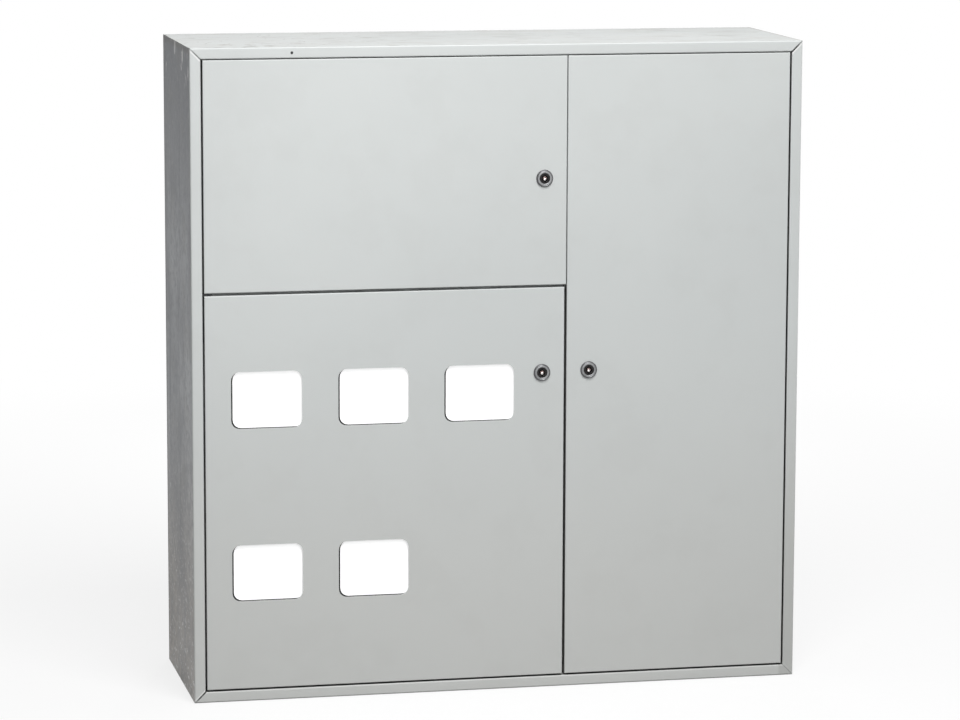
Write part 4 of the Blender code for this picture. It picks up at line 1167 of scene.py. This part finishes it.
def make_floor():
    """A white sweep: near the board it keeps the shadow, and it fades to plain white further out."""
    steps = 48
    bm = bmesh.new()
    previous = [bm.verts.new((0, 0, BOTTOM))]
    for radius in (1.0, 2.5, 6.0, 15.0, 60.0):
        ring = []
        for step in range(steps):
            angle = 2 * math.pi * step / steps
            ring.append(bm.verts.new((radius * math.cos(angle), radius * math.sin(angle), BOTTOM)))
        for step in range(steps):
            following = (step + 1) % steps
            corners = [previous[step % len(previous)], ring[step], ring[following]]
            corners.append(previous[following % len(previous)])
            bm.faces.new(list(dict.fromkeys(corners)))
        previous = ring
    mesh = bpy.data.meshes.new("studio_floor")
    bm.to_mesh(mesh)
    bm.free()
    floor = bpy.data.objects.new("studio_floor", mesh)
    bpy.context.scene.collection.objects.link(floor)
    floor.location.z = -0.0005
    material = bpy.data.materials.new("pale_floor")
    material.use_nodes = True
    tree = material.node_tree
    wires = Wires(tree)
    shader = tree.nodes["Principled BSDF"]
    grain = wires.noise(wires.place(), 30.0, 4.0)
    rays = background_rays(wires)
    seen = wires.mix(grain, (0.86, 0.86, 0.86), (0.90, 0.90, 0.90))
    wires.feed(shader.inputs["Base Color"], wires.mix(rays, (0.36, 0.36, 0.36), seen))
    shader.inputs["Roughness"].default_value = 0.8
    glow = wires.add("ShaderNodeEmission", {"Color": (1.0, 1.0, 1.0), "Strength": 1.0})
    apart = wires.add("ShaderNodeVectorMath", {0: wires.place()}, operation="LENGTH").outputs["Value"]
    far = wires.ramp(apart, 0.8, 3.0, 0.80, 1.0)
    white = wires.math("MULTIPLY", far, rays)
    blend = wires.add("ShaderNodeMixShader", {0: white, 1: shader.outputs[0], 2: glow.outputs[0]})
    wires.feed(tree.nodes["Material Output"].inputs["Surface"], blend.outputs[0])
    mesh.materials.append(material)


def make_world():
    """Even grey light, seen as white by the camera and in reflections."""
    world = bpy.data.worlds.new("studio")
    bpy.context.scene.world = world
    world.use_nodes = True
    tree = world.node_tree
    tree.nodes.clear()
    wires = Wires(tree)
    light = wires.add("ShaderNodeBackground", {"Color": (0.98, 0.99, 1.0), "Strength": 0.27})
    white = wires.add("ShaderNodeBackground", {"Color": (1.0, 1.0, 1.0), "Strength": 1.0})
    blend = wires.add("ShaderNodeMixShader",
                      {0: background_rays(wires), 1: light.outputs[0], 2: white.outputs[0]})
    output = wires.add("ShaderNodeOutputWorld")
    wires.feed(output.inputs["Surface"], blend.outputs[0])


def area_light(name, place, target, size, power):
    data = bpy.data.lights.new(name, "AREA")
    data.shape = "DISK"
    data.size = size
    data.energy = power
    lamp = bpy.data.objects.new(name, data)
    bpy.context.scene.collection.objects.link(lamp)
    lamp.location = place
    lamp.rotation_euler = (Vector(target) - Vector(place)).to_track_quat("-Z", "Y").to_euler()


def make_grey_card():
    """A grey card, folded on the floor behind the left side, that only reflections see."""
    near = (-0.50, 0.25)
    left = (-2.6, 0.6)
    far = (-0.45, 4.5)
    low = BOTTOM + 0.002
    high = 3.5
    bm = bmesh.new()
    bm.faces.new([bm.verts.new((*corner, low)) for corner in (near, far, left)])
    upright = [(*left, low), (*far, low), (*far, high), (*left, high)]
    bm.faces.new([bm.verts.new(corner) for corner in upright])
    mesh = bpy.data.meshes.new("grey_card")
    bm.to_mesh(mesh)
    bm.free()
    material = bpy.data.materials.new("card_grey")
    material.use_nodes = True
    wires = Wires(material.node_tree)
    grey = wires.add("ShaderNodeEmission", {"Color": (0.66, 0.66, 0.66), "Strength": 1.0})
    wires.feed(material.node_tree.nodes["Material Output"].inputs["Surface"], grey.outputs[0])
    mesh.materials.append(material)
    card = bpy.data.objects.new("grey_card", mesh)
    bpy.context.scene.collection.objects.link(card)
    card.visible_camera = False
    card.visible_diffuse = False
    card.visible_shadow = False
    card.visible_transmission = False


def make_camera():
    data = bpy.data.cameras.new("camera")
    data.sensor_width = FILM_WIDE
    data.lens = LENS
    camera = bpy.data.objects.new("camera", data)
    camera.location = CAMERA_PLACE
    camera.rotation_euler = [math.radians(angle) for angle in CAMERA_TURN]
    bpy.context.scene.collection.objects.link(camera)
    bpy.context.scene.camera = camera


make_floor()
make_world()
make_grey_card()
area_light("key", (0.1, -1.8, 3.1), (0, 0, 0.6), 1.6, 88.0)
area_light("low_fill", (-0.22, -1.4, 0.8), (-0.2, 0, 0.6), 0.5, 2.85)
area_light("back_fill", (0.45, 2.4, 0.5), (0.0, 0.15, 0.5), 0.5, 14.0)
area_light("right_fill", (2.6, 0.1, 0.5), (0.475, 0.0, 0.5), 0.5, 8.0)
make_camera()
bpy.context.scene.view_settings.view_transform = "Standard"
